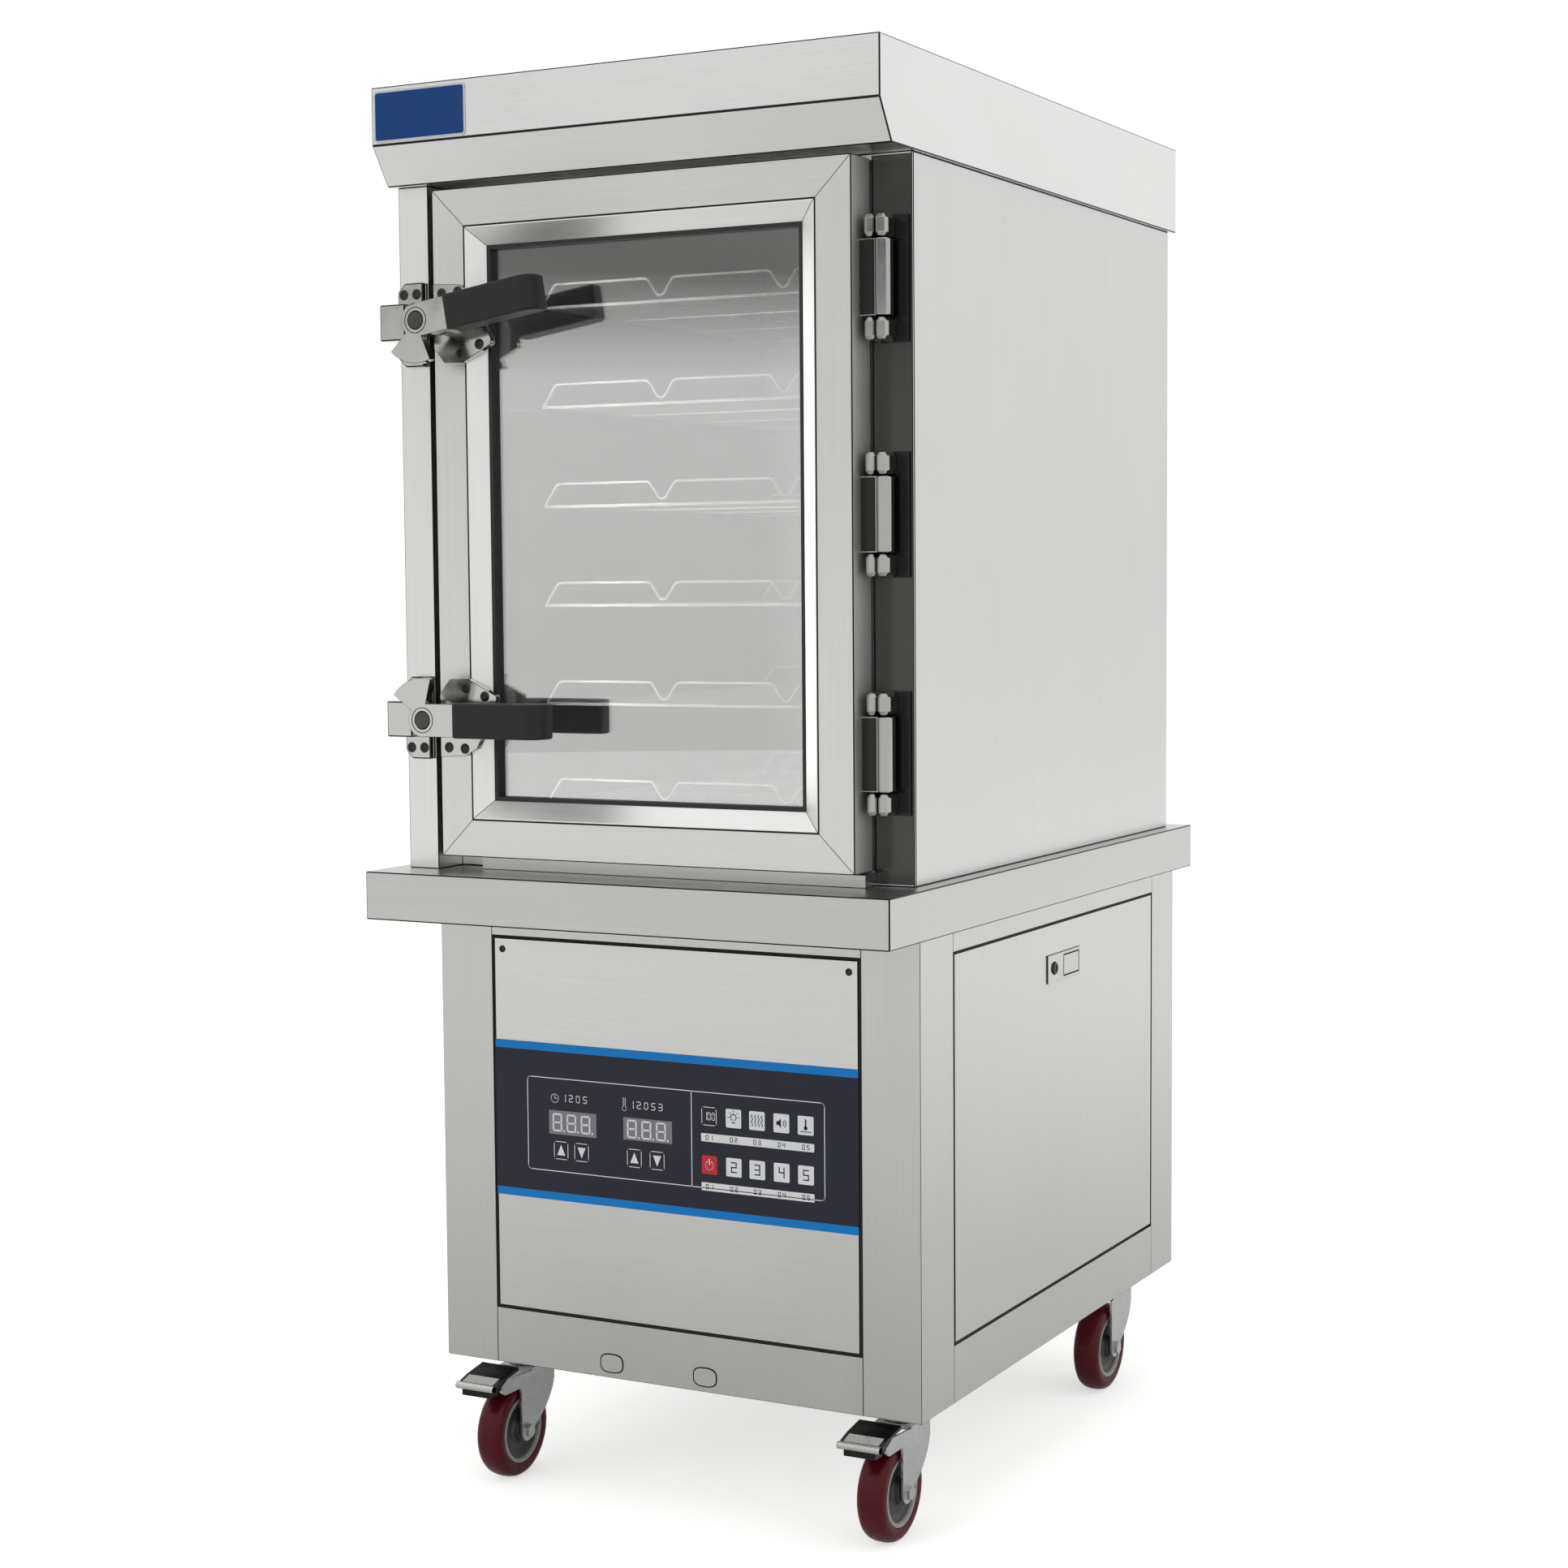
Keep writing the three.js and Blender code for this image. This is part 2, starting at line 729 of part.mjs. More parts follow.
// The inlet pipe ends in a small fork that holds the pivot of the float arm
const floatPivotY = tankSetback + sheetWall + pipeTankReach + floatEyeRadius + floatPivotRadius;
const floatPivotZ = inletLevel;
function makeInlet() {
  const reach = floatPivotY + floatEyeRadius;
  const start = tankSetback + sheetWall + seatGap;
  const innerHalf = floatEyeWidth / 2 + runningGap;
  const outerHalf = pipeRadius + sheetWall;
  const cheekStart = tankSetback + pipeTankReach;
  let inlet = makePipe(inletOffset, inletLevel);
  for (const side of [-1, 1]) {
    const low = inletOffset + Math.min(side * innerHalf, side * outerHalf);
    const high = inletOffset + Math.max(side * innerHalf, side * outerHalf);
    const cheek = block(
      low, high, cheekStart, reach, floatPivotZ - floatEyeRadius, floatPivotZ + floatEyeRadius,
    );
    const bore = rod(
      'y', start, cheekStart + pipeTankReach, inletOffset, inletLevel, pipeBore, pipeSides,
    );
    inlet = inlet.add(cut(cheek, bore));
  }
  const pinReach = outerHalf - sheetWall / 2;
  return inlet.add(rod(
    'x', inletOffset - pinReach, inletOffset + pinReach, floatPivotY, floatPivotZ, floatPivotRadius, pipeSides,
  ));
}
addPiece('water_inlet_pipe', makeInlet(), 'copper');
addPiece('drain_pipe', makePipe(drainOffset, drainLevel), 'copper');

// Float arm, drawn round its pivot: the ball hangs at its lowest while the tank is empty
function makeFloat() {
  const eye = rod('x', -floatEyeWidth / 2, floatEyeWidth / 2, 0, 0, floatEyeRadius);
  const arm = rod('y', 0, floatArmLength, 0, 0, floatArmRadius, pipeSides);
  const float = ball(0, floatArmLength, 0, floatBallRadius, pipeSides);
  const bore = rod('x', -floatEyeWidth, floatEyeWidth, 0, 0, floatPivotRadius + runningGap, pipeSides);
  return cut(join(eye, arm, float), bore);
}
const floatPlace = new THREE.Group();
floatPlace.position.set(inletOffset, floatPivotY, floatPivotZ);
floatPlace.rotation.x = -THREE.MathUtils.degToRad(floatRestAngle);
cabinet.add(floatPlace);
addPiece('float_arm', makeFloat(), 'plastic', floatPlace);

// Door: a frame, a glazing bead, two panes and a seal
const openLeft = doorLeft + stileWidth + beadWidth;
const openRight = doorRight - stileWidth - beadWidth;
const openFoot = doorFoot + stileWidth + beadWidth;
const openHead = doorHead - stileWidth - beadWidth;
const outerPaneFront = doorFront + glassSetback;
const outerPaneBack = outerPaneFront + glassThickness;
const innerPaneFront = doorBack - glassThickness;

function openingBlock(grow, yFront, yBack) {
  return block(openLeft - grow, openRight + grow, yFront, yBack, openFoot - grow, openHead + grow);
}

function makeDoorFrame() {
  return cut(
    block(doorLeft, doorRight, doorFront, doorBack, doorFoot, doorHead),
    openingBlock(0, doorFront - overrun, doorBack + overrun),
    openingBlock(beadWidth, doorFront - overrun, outerPaneBack + seatGap),
    openingBlock(innerPaneLap, innerPaneFront - seatGap, doorBack + overrun),
  );
}
addPiece('door_frame', makeDoorFrame(), 'steel');

// The bead slopes inwards from the door's face to the edge of the glass opening
function makeBead() {
  const rim = beadWidth - beadEdge;
  const run = rim / beadSlopeDepth;
  const wide = rim + overrun * run;
  const slope = new THREE.CylinderGeometry(Math.SQRT1_2, Math.SQRT1_2, 1, 4);
  slope.rotateY(Math.PI / 4);
  const places = slope.attributes.position;
  for (let index = 0; index < places.count; index += 1) {
    const atFront = places.getY(index) > 0;
    const grow = atFront ? wide : 0;
    const x = places.getX(index) > 0 ? openRight + grow : openLeft - grow;
    const z = places.getZ(index) > 0 ? openFoot - grow : openHead + grow;
    const onAxis = Math.hypot(places.getX(index), places.getZ(index)) < Math.SQRT1_2 / 2;
    const y = atFront ? doorFront - overrun : doorFront + beadSlopeDepth;
    places.setXYZ(index, onAxis ? (openLeft + openRight) / 2 : x, y, onAxis ? (openFoot + openHead) / 2 : z);
  }
  return cut(
    openingBlock(beadWidth - seatGap, doorFront, outerPaneFront - seatGap),
    openingBlock(0, doorFront - overrun, outerPaneFront + overrun),
    solid(slope),
  );
}
addPiece('door_bead', makeBead(), 'steel');
addPiece('door_glass_outer', openingBlock(beadWidth - seatGap, outerPaneFront, outerPaneBack), 'glass');
addPiece('door_glass_inner', openingBlock(innerPaneLap - seatGap, innerPaneFront, doorBack), 'glass');

function makeGasket() {
  const ring = (grow) => block(
    -mouthHalf - grow, mouthHalf + grow, doorBack + seatGap, bodyFront - seatGap,
    mouthFoot - grow, mouthHead + grow,
  );
  const hole = block(
    -mouthHalf - gasketInset, mouthHalf + gasketInset, doorBack - overrun, bodyFront + overrun,
    mouthFoot - gasketInset, mouthHead + gasketInset,
  );
  return cut(ring(gasketInset + gasketWidth), hole);
}
addPiece('door_gasket', makeGasket(), 'rubber');

// Door hinges: a bracket on the chamber front and a block on the edge of the door
const hingeX = doorRight + hingeAxisFromDoor;
const hingeY = bodyFront - hingeAxisFromBody;
const hingeNames = ['top', 'middle', 'bottom'];
const doorHeight = doorHead - doorFoot;

function makeHingeBracket(middle) {
  const low = middle - hingeHeight / 2;
  const high = middle + hingeHeight / 2;
  const plateBack = bodyFront - seatGap;
  const plateFront = plateBack - hingePlateThickness;
  const plateLeft = doorRight + hingePlateInset;
  const plateRight = baseHalf - hingePlateInset;
  const plate = block(plateLeft, plateRight, plateFront, plateBack, low, high);
  const pin = rod(
    'z', low + hingeKnuckleHeight / 2, high - hingeKnuckleHeight / 2, hingeX, hingeY, hingePinRadius, pipeSides,
  );
  let bracket = join(plate, pin);
  for (const [z0, z1] of [[low, low + hingeKnuckleHeight], [high - hingeKnuckleHeight, high]]) {
    const knuckle = rod('z', z0, z1, hingeX, hingeY, hingeKnuckleRadius, knuckleSides);
    const web = block(
      hingeX - hingeKnuckleRadius, hingeX + hingeKnuckleRadius,
      hingeY, plateFront + hingePlateThickness / 2, z0, z1,
    );
    bracket = join(bracket, knuckle, web);
  }
  return bracket;
}

function makeHingeBlock(middle) {
  const half = hingeHeight / 2 - hingeKnuckleHeight - hingeRunningGap;
  const barrel = rod('z', middle - half, middle + half, hingeX, hingeY, hingeBlockRadius, knuckleSides);
  const armHalf = hingeBlockRadius * Math.SQRT1_2;
  const arm = block(
    doorRight + seatGap, hingeX, hingeY - armHalf, hingeY + armHalf, middle - half, middle + half,
  );
  const bore = rod(
    'z', middle - half - overrun, middle + half + overrun,
    hingeX, hingeY, hingePinRadius + runningGap, pipeSides,
  );
  return cut(join(barrel, arm), bore);
}

hingeNames.forEach((name, index) => {
  const middle = doorHead - hingeHeightShares[index] * doorHeight;
  addPiece(`hinge_bracket_${name}`, makeHingeBracket(middle), 'chrome');
  addPiece(`hinge_block_${name}`, makeHingeBlock(middle), 'chrome');
});

// Latches: a keeper on the post, and on the door a mount, a lever and its grip.
// Each shape is drawn round its own pin at the origin of X and Z, wing side down.
const pinX = doorLeft + latchPinInset;
const leverBack = doorFront - leverSetout;
const leverFront = leverBack - leverThickness;
const plateHalf = latchPlateHeight / 2;

function makeKeeper() {
  const left = -baseHalf + keeperInset - pinX;
  const right = -baseHalf + postWidth - keeperInset - pinX;
  const back = doorFront - seatGap;
  const front = back - latchPlateThickness;
  const plate = outline([
    [left, -plateHalf + keeperCorner], [left + keeperCorner, -plateHalf], [right, -plateHalf],
    [right, plateHalf], [left + keeperCorner, plateHalf], [left, plateHalf - keeperCorner],
  ]);
  const half = latchBlockHeight / 2;
  const riserBack = front + latchPlateThickness / 2;
  const riser = block(left, right, front - latchBlockDepth, riserBack, -half, half);
  return join(frontShape(plate, front, back), riser);
}

const mountShares = [
  [0, 0.47], [0.446, 0.45], [0.649, 0.36], [1, -0.21], [1, -0.275], [0.5, -0.48], [0.176, -0.47], [0, -0.3],
];
function makeMount() {
  const back = doorFront - seatGap;
  const front = back - latchPlateThickness;
  const left = -mountLead;
  const plate = outline(mountShares.map(([a, b]) => [left + a * latchPlateWidth, b * latchPlateHeight]));
  const bossBack = front + latchPlateThickness / 2;
  const pinBack = leverBack + latchPlateThickness;
  const boss = rod('y', leverBack + seatGap, bossBack, 0, 0, latchBossRadius, knuckleSides);
  const pin = rod('y', leverFront - seatGap, pinBack, 0, 0, latchPinRadius, knuckleSides);
  return join(frontShape(plate, front, back), boss, pin);
}

function wingShape() {
  const shape = new THREE.Shape();
  shape.moveTo(0, 0);
  const rear = THREE.MathUtils.degToRad(wingRearAngle);
  const front = THREE.MathUtils.degToRad(wingFrontAngle);
  shape.absarc(0, 0, wingRadius, -rear, -front, false);
  shape.lineTo(0, 0);
  return shape;
}

function makeLever() {
  const armHalf = latchArmHeight / 2;
  const hub = rod('y', leverFront, leverBack, 0, 0, leverHubRadius, knuckleSides);
  const arm = block(0, latchArmLength, leverFront, leverBack, -armHalf, armHalf);
  const wing = frontShape(wingShape(), leverFront, leverBack);
  const tang = block(
    latchArmLength - overrun, latchArmLength + tangLength,
    leverFront + tangInset / 2, leverBack - tangInset / 2,
    -tangHeight / 2, tangHeight / 2,
  );
  const boreRadius = latchPinRadius + runningGap;
  const bore = rod('y', leverFront - overrun, leverBack + overrun, 0, 0, boreRadius, knuckleSides);
  return cut(join(hub, arm, wing, tang), bore);
}

function makeGrip() {
  const left = latchArmLength + seatGap;
  const right = left + gripLength;
  const front = leverFront - gripProud;
  const back = front + gripDepth;
  const shape = new THREE.Shape();
  shape.moveTo(left, back);
  shape.lineTo(left, front);
  shape.lineTo(right - gripEndRadius, front);
  shape.absarc(right - gripEndRadius, front + gripEndRadius, gripEndRadius, -Math.PI / 2, 0, false);
  shape.lineTo(right, back);
  const body = topShape(shape, -gripHeight / 2, gripHeight / 2, smallSides / 2);
  const socket = block(
    left - overrun, latchArmLength + tangLength + seatGap,
    leverFront + tangInset / 2 - seatGap, leverBack - tangInset / 2 + seatGap,
    -tangHeight / 2 - seatGap, tangHeight / 2 + seatGap,
  );
  return cut(body, socket);
}

const latches = [
  { name: 'upper', share: latchHeightShares[0], tilt: upperLatchTilt, flip: false },
  { name: 'lower', share: latchHeightShares[1], tilt: 0, flip: true },
];

// The lower latch is the upper one mirrored top to bottom
function mirrored(shape, flip) {
  return flip ? shape.mirror([0, 0, 1]) : shape;
}

for (const latch of latches) {
  const height = bodyTop - latch.share * bodyHeight;
  const fixed = new THREE.Group();
  fixed.position.set(pinX, 0, height);
  const turning = new THREE.Group();
  turning.position.set(pinX, 0, height);
  turning.rotation.y = -THREE.MathUtils.degToRad(latch.tilt);
  cabinet.add(fixed, turning);
  addPiece(`latch_keeper_${latch.name}`, mirrored(makeKeeper(), latch.flip), 'chrome', fixed);
  addPiece(`latch_mount_${latch.name}`, mirrored(makeMount(), latch.flip), 'chrome', fixed);
  addPiece(`latch_lever_${latch.name}`, mirrored(makeLever(), latch.flip), 'chrome', turning);
  addPiece(`latch_grip_${latch.name}`, mirrored(makeGrip(), latch.flip), 'grip', turning);
}

// Side access panel, hung on its lower edge, with a flush lock
const sidePanelFront = sidePostWidth + panelGap;
const sidePanelRear = baseDepth - rearPostWidth - panelGap;
const lockMiddle = sidePanelFront + lockCentreShare * (sidePanelRear - sidePanelFront);
const lockFront = lockMiddle - lockWidth / 2;
const lockRear = lockMiddle + lockWidth / 2;
const lockHead = panelHead - lockTopDrop;
const lockFoot = lockHead - lockHeight;
const lockFace = baseHalf + lockProud;
const lockLevel = (lockHead + lockFoot) / 2;
const buttonY = lockFront + lockButtonShare * lockWidth;
const paddleRear = lockRear - paddleEndMargin;
const paddleFront = paddleRear - paddleWidth;
const paddleHalf = lockHeight / 2 - paddleSideMargin;

function makeSidePanel() {
  const face = {
    a0: sidePanelFront, a1: sidePanelRear, z0: panelFoot, z1: panelHead,
    front: baseHalf, rear: baseHalf - panelFold,
  };
  const hole = block(
    baseHalf - panelFold, baseHalf + overrun, lockFront + lockLipWidth, lockRear - lockLipWidth,
    lockFoot + lockLipWidth, lockHead - lockLipWidth,
  );
  return cut(foldedTray(face, overrun, 'x'), hole);
}
addPiece('side_panel', makeSidePanel(), 'steel');

function makeBezel() {
  const lip = block(baseHalf + seatGap, lockFace, lockFront, lockRear, lockFoot, lockHead);
  const inset = lockLipWidth + seatGap;
  const cup = block(
    baseHalf - lockDepth, baseHalf + lockProud / 2, lockFront + inset, lockRear - inset,
    lockFoot + inset, lockHead - inset,
  );
  const half = paddleHalf + lockRunningGap;
  const pocket = block(
    lockFace - paddleThickness - lockRunningGap, lockFace + overrun,
    paddleFront - lockRunningGap, paddleRear + lockRunningGap, lockLevel - half, lockLevel + half,
  );
  const well = rod(
    'x', lockFace - paddleThickness - lockButtonTravel, lockFace + overrun,
    buttonY, lockLevel, lockButtonRadius + lockRunningGap,
  );
  return cut(join(lip, cup), pocket, well);
}
addPiece('lock_bezel', makeBezel(), 'chrome');

addPiece('lock_paddle', block(
  lockFace - paddleThickness, lockFace, paddleFront, paddleRear,
  lockLevel - paddleHalf, lockLevel + paddleHalf,
), 'chrome');
addPiece('lock_button', rod(
  'x', lockFace - paddleThickness + seatGap, lockFace + lockButtonProud, buttonY, lockLevel, lockButtonRadius,
), 'chrome');

// Casters, drawn round the swivel axis at the origin of X and Y
const wheelRadius = wheelDiameter / 2;
const crownFoot = wheelDiameter + crownClearance;
const crownTop = crownFoot + crownThickness;
const plateTop = baseFoot - seatGap;
const plateFoot = plateTop - casterPlateThickness;
const cheekInner = wheelWidth / 2 + forkSideClearance;
const cheekOuter = cheekInner + forkWall;
const axleY = -casterTrail;
const pedalPivotY = axleY - pedalPivotForward;
const pedalPivotZ = wheelRadius + pedalPivotRise;

function makeCasterPlate() {
  const halfWidth = casterPlateWidth / 2;
  const halfLength = casterPlateLength / 2;
  const pinFoot = crownFoot - runningGap - kingPinHeadHeight;
  return join(
    block(-halfWidth, halfWidth, -halfLength, halfLength, plateFoot, plateTop),
    rod('z', crownTop + seatGap, plateFoot + casterPlateThickness / 2, 0, 0, raceRadius, knuckleSides),
    rod('z', pinFoot, crownTop + crownThickness, 0, 0, kingPinRadius, smallSides),
    rod('z', pinFoot, pinFoot + kingPinHeadHeight, 0, 0, kingPinHeadRadius, smallSides),
  );
}

// Each cheek is wide at the crown and narrows to a round end below the axle
function cheekOutline(braked) {
  const rear = crownRadius;
  const shoulder = crownTop - crownThickness / 2;
  const footRadius = cheekFootRadius;
  const shape = new THREE.Shape();
  shape.moveTo(rear, shoulder);
  shape.lineTo(rear, wheelRadius + cheekBendRise);
  shape.quadraticCurveTo(rear * cheekCurveShare, wheelRadius + cheekCurveRise, axleY + footRadius, wheelRadius);
  shape.absarc(axleY, wheelRadius, footRadius, 0, -Math.PI, true);
  const neckTop = wheelRadius + pedalPivotRise - pedalLugRadius;
  shape.lineTo(axleY - footRadius, neckTop);
  if (braked) {
    shape.lineTo(pedalPivotY, neckTop);
    shape.absarc(pedalPivotY, pedalPivotZ, pedalLugRadius, -Math.PI / 2, -Math.PI * 1.5, true);
  } else {
    shape.lineTo(axleY - footRadius, pedalPivotZ);
  }
  shape.lineTo(-crownRadius, shoulder);
  return shape;
}

function makeFork(braked) {
  const crown = rod('z', crownFoot, crownTop, 0, 0, crownRadius, knuckleSides);
  const roof = block(-cheekOuter, cheekOuter, -crownRadius, crownRadius, crownFoot, crownTop);
  let fork = join(crown, roof);
  for (const side of [-1, 1]) {
    const low = Math.min(side * cheekInner, side * cheekOuter);
    const high = Math.max(side * cheekInner, side * cheekOuter);
    fork = fork.add(sideShape(cheekOutline(braked), low, high, smallSides / 2));
  }
  const axle = rod('x', -cheekOuter, cheekOuter, axleY, wheelRadius, axleRadius, smallSides);
  const headEnd = cheekOuter + axleHeadHeight;
  const boltEnd = cheekOuter - forkWall / 2;
  const bolt = rod('x', -headEnd, -boltEnd, axleY, wheelRadius, axleHeadRadius, hexSides);
  const nut = rod('x', boltEnd, headEnd, axleY, wheelRadius, axleHeadRadius, hexSides);
  const bore = rod('z', crownFoot - overrun, crownTop + overrun, 0, 0, kingPinRadius + runningGap, smallSides);
  fork = cut(join(fork, axle, bolt, nut), bore);
  if (braked) {
    const spindle = rod(
      'x', -cheekOuter, cheekOuter, pedalPivotY, pedalPivotZ, pedalPivotRadius, pipeSides,
    );
    fork = fork.add(spindle);
  }
  return fork;
}

const hubShares = [[0.2327, 1], [0.2764, 0.62], [0.657, 0.62]];
const treadShares = [[0.03, 0.76], [0.12, 0.9], [0.28, 0.975], [0.5, 1]];
function makeWheel() {
  const half = wheelWidth / 2;
  const bore = axleRadius + runningGap;
  const side = [[bore, -half]];
  for (const [a, b] of hubShares) {
    side.push([a * wheelRadius, -b * half]);
  }
  for (const [a, b] of treadShares) {
    side.push([b * wheelRadius, -half + a * wheelWidth]);
  }
  const other = side.slice(0, -1).reverse().map(([r, x]) => [r, -x]);
  const points = [...side, ...other, side[0]].map(([r, x]) => new THREE.Vector2(r, x));
  const wheel = new THREE.LatheGeometry(points, wheelSides);
  wheel.applyQuaternion(new THREE.Quaternion().setFromUnitVectors(axes.y, axes.x));
  wheel.translate(0, axleY, wheelRadius);
  return solid(wheel);
}

// Brake pedal: a plate that slopes down to a rolled bar, turning on the fork's front spindle
function makePedal() {
  const half = pedalWidth / 2;
  const innerHalf = cheekInner - runningGap;
  const barY = pedalPivotY - pedalReach;
  const barZ = pedalPivotZ + pedalBarRise;
  const over = pedalLugRadius + pedalClearance;
  const profile = outline([
    [barY, barZ - pedalThickness / 2],
    [pedalPivotY - over - pedalClearance, pedalPivotZ + pedalLugRadius / 2],
    [pedalPivotY, pedalPivotZ + over],
    [pedalPivotY + pedalTailReach, pedalPivotZ + pedalTailRise],
    [pedalPivotY + pedalTailReach, pedalPivotZ + pedalTailRise + pedalThickness],
    [pedalPivotY - pedalLugRadius, pedalPivotZ + over + pedalThickness / 2],
    [barY, barZ + pedalThickness / 2],
  ]);
  const plate = sideShape(profile, -half, half);
  const bar = rod('x', -half, half, barY, barZ, pedalBarRadius, pipeSides);
  const boss = rod('x', -innerHalf, innerHalf, pedalPivotY, pedalPivotZ, pedalLugRadius, smallSides);
  const web = block(
    -innerHalf, innerHalf, pedalPivotY - pedalPivotRadius, pedalPivotY + pedalPivotRadius,
    pedalPivotZ, pedalPivotZ + pedalLugRadius + pedalThickness,
  );
  const bumperRear = pedalPivotY - over - pedalClearance;
  const bumper = block(-innerHalf, innerHalf, barY, bumperRear, pedalPivotZ - bumperDrop, barZ);
  const bore = rod(
    'x', -half - overrun, half + overrun, pedalPivotY, pedalPivotZ, pedalPivotRadius + runningGap, pipeSides,
  );
  return cut(join(plate, bar, boss, web, bumper), bore);
}

const casters = [
  { name: 'front_left', side: -1, rear: false },
  { name: 'front_right', side: 1, rear: false },
  { name: 'rear_left', side: -1, rear: true },
  { name: 'rear_right', side: 1, rear: true },
];
for (const caster of casters) {
  const place = new THREE.Group();
  const y = caster.rear ? baseDepth - casterInsetY : casterInsetY;
  place.position.set(caster.side * (baseHalf - casterInsetX), y, 0);
  cabinet.add(place);
  addPiece(`caster_plate_${caster.name}`, makeCasterPlate(), 'zinc', place);
  addPiece(`caster_fork_${caster.name}`, makeFork(!caster.rear), 'zinc', place);
  addPiece(`caster_wheel_${caster.name}`, makeWheel(), 'tyre', place);
  if (!caster.rear) {
    addPiece(`brake_pedal_${caster.name}`, makePedal(), 'chrome', place);
  }
}

// Wire shelf: a rim, wires front to back, and a raised wire with humps at front and rear.
// A welded wire sinks a little into the one that it crosses.
function humpedLine() {
  const half = shelfHalf - weldSink;
  const pitch = (half * 2) / rimHumpCount;
  const low = rimWire / 2 - weldSink;
  const path = [[-half, low]];
  for (let index = 0; index < rimHumpCount; index += 1) {
    const start = -half + index * pitch;
    path.push([start + rimHumpRun, rimHumpRise]);
    path.push([start + pitch - rimHumpRun, rimHumpRise]);
    path.push([start + pitch, low]);
  }
  return path;
}

function thickLine(path, width) {
  const under = path.map(([x, z]) => [x, z - width]);
  return outline([...path, ...under.reverse()].reverse());
}

function makeShelf() {
  const half = shelfHalf;
  const wire = rimWire / 2;
  const thin = gridWire / 2;
  const outer = block(-half, half, shelfFront, shelfRear, -wire, wire);
  const inner = block(
    -half + rimWire, half - rimWire, shelfFront + rimWire, shelfRear - rimWire, -overrun, overrun,
  );
  let shelf = cut(outer, inner);
  const gridTop = wire - weldSink;
  for (let index = 1; index < gridWireCount; index += 1) {
    const x = -half + (half * 2 * index) / gridWireCount;
    shelf = shelf.add(block(
      x - thin, x + thin, shelfFront + wire, shelfRear - wire, gridTop - gridWire, gridTop,
    ));
  }
  const crossTop = gridTop - gridWire + weldSink;
  const crossFoot = crossTop - wire + weldSink;
  for (let index = 1; index <= crossWireCount; index += 1) {
    const y = shelfFront + ((shelfRear - shelfFront) * index) / (crossWireCount + 1);
    shelf = shelf.add(block(-half + wire, half - wire, y - thin, y + thin, crossFoot, crossTop));
  }
  const humps = thickLine(humpedLine(), rimWire - weldSink * 2);
  const frontWire = frontShape(humps, shelfFront + weldSink, shelfFront + rimWire - weldSink);
  const rearWire = frontShape(humps, shelfRear - rimWire + weldSink, shelfRear - weldSink);
  return join(shelf, frontWire, rearWire);
}

for (let index = 0; index < shelfCount; index += 1) {
  const shelf = addPiece(`wire_shelf_${index + 1}`, makeShelf(), 'chrome');
  shelf.position.z = shelfLevel(index);
}

// The origin lies on the floor, below the middle of the whole cabinet
const frontMost = leverFront - gripProud;
const rearMost = baseDepth + ledgeRearOverhang;
cabinet.position.y = -(frontMost + rearMost) / 2;
const placed = new THREE.Group();
placed.name = 'steaming_cabinet';
placed.add(cabinet);

export default placed;
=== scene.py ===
import math

import bmesh
import bpy
from mathutils import Matrix, Vector


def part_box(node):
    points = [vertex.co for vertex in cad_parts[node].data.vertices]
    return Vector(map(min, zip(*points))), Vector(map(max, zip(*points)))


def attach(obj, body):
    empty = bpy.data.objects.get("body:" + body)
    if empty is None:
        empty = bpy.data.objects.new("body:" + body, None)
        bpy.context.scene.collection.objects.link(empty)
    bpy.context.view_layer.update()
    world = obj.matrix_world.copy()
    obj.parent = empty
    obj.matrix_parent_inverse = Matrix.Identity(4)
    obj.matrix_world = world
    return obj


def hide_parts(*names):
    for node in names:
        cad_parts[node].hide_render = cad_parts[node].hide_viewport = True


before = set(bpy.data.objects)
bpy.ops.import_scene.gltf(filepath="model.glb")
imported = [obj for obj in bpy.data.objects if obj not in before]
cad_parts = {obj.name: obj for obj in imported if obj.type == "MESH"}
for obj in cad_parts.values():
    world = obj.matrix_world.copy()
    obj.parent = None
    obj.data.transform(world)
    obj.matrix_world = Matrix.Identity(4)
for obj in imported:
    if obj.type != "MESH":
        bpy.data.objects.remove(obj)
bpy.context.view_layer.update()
scene = bpy.context.scene
scene.view_settings.view_transform = "Standard"


# The photographer's view: a long lens at chest height, in front of the cabinet's right corner.
# Its place, angles and lens come from a fit to the corners that the photo shows.
camera_place = Vector((1.4801, -2.8654, 1.0297))
camera_yaw, camera_pitch, camera_roll = 0.48594, -0.07458, -0.00763
camera_focal_mm, camera_sensor_mm, camera_reach = 62.37, 36, 100
level = Vector((math.cos(camera_yaw), math.sin(camera_yaw), 0))
ahead = Vector((-math.sin(camera_yaw), math.cos(camera_yaw), 0))
look = ahead * math.cos(camera_pitch) + Vector((0, 0, math.sin(camera_pitch)))
upright = level.cross(look)
right = level * math.cos(camera_roll) + upright * math.sin(camera_roll)
up = upright * math.cos(camera_roll) - level * math.sin(camera_roll)
camera = bpy.data.objects.new("camera", bpy.data.cameras.new("camera"))
camera.data.lens = camera_focal_mm
camera.data.sensor_width = camera_sensor_mm
camera.data.clip_end = camera_reach
camera.matrix_world = Matrix.Translation(camera_place) @ Matrix((right, up, -look)).transposed().to_4x4()
scene.collection.objects.link(camera)
scene.camera = camera


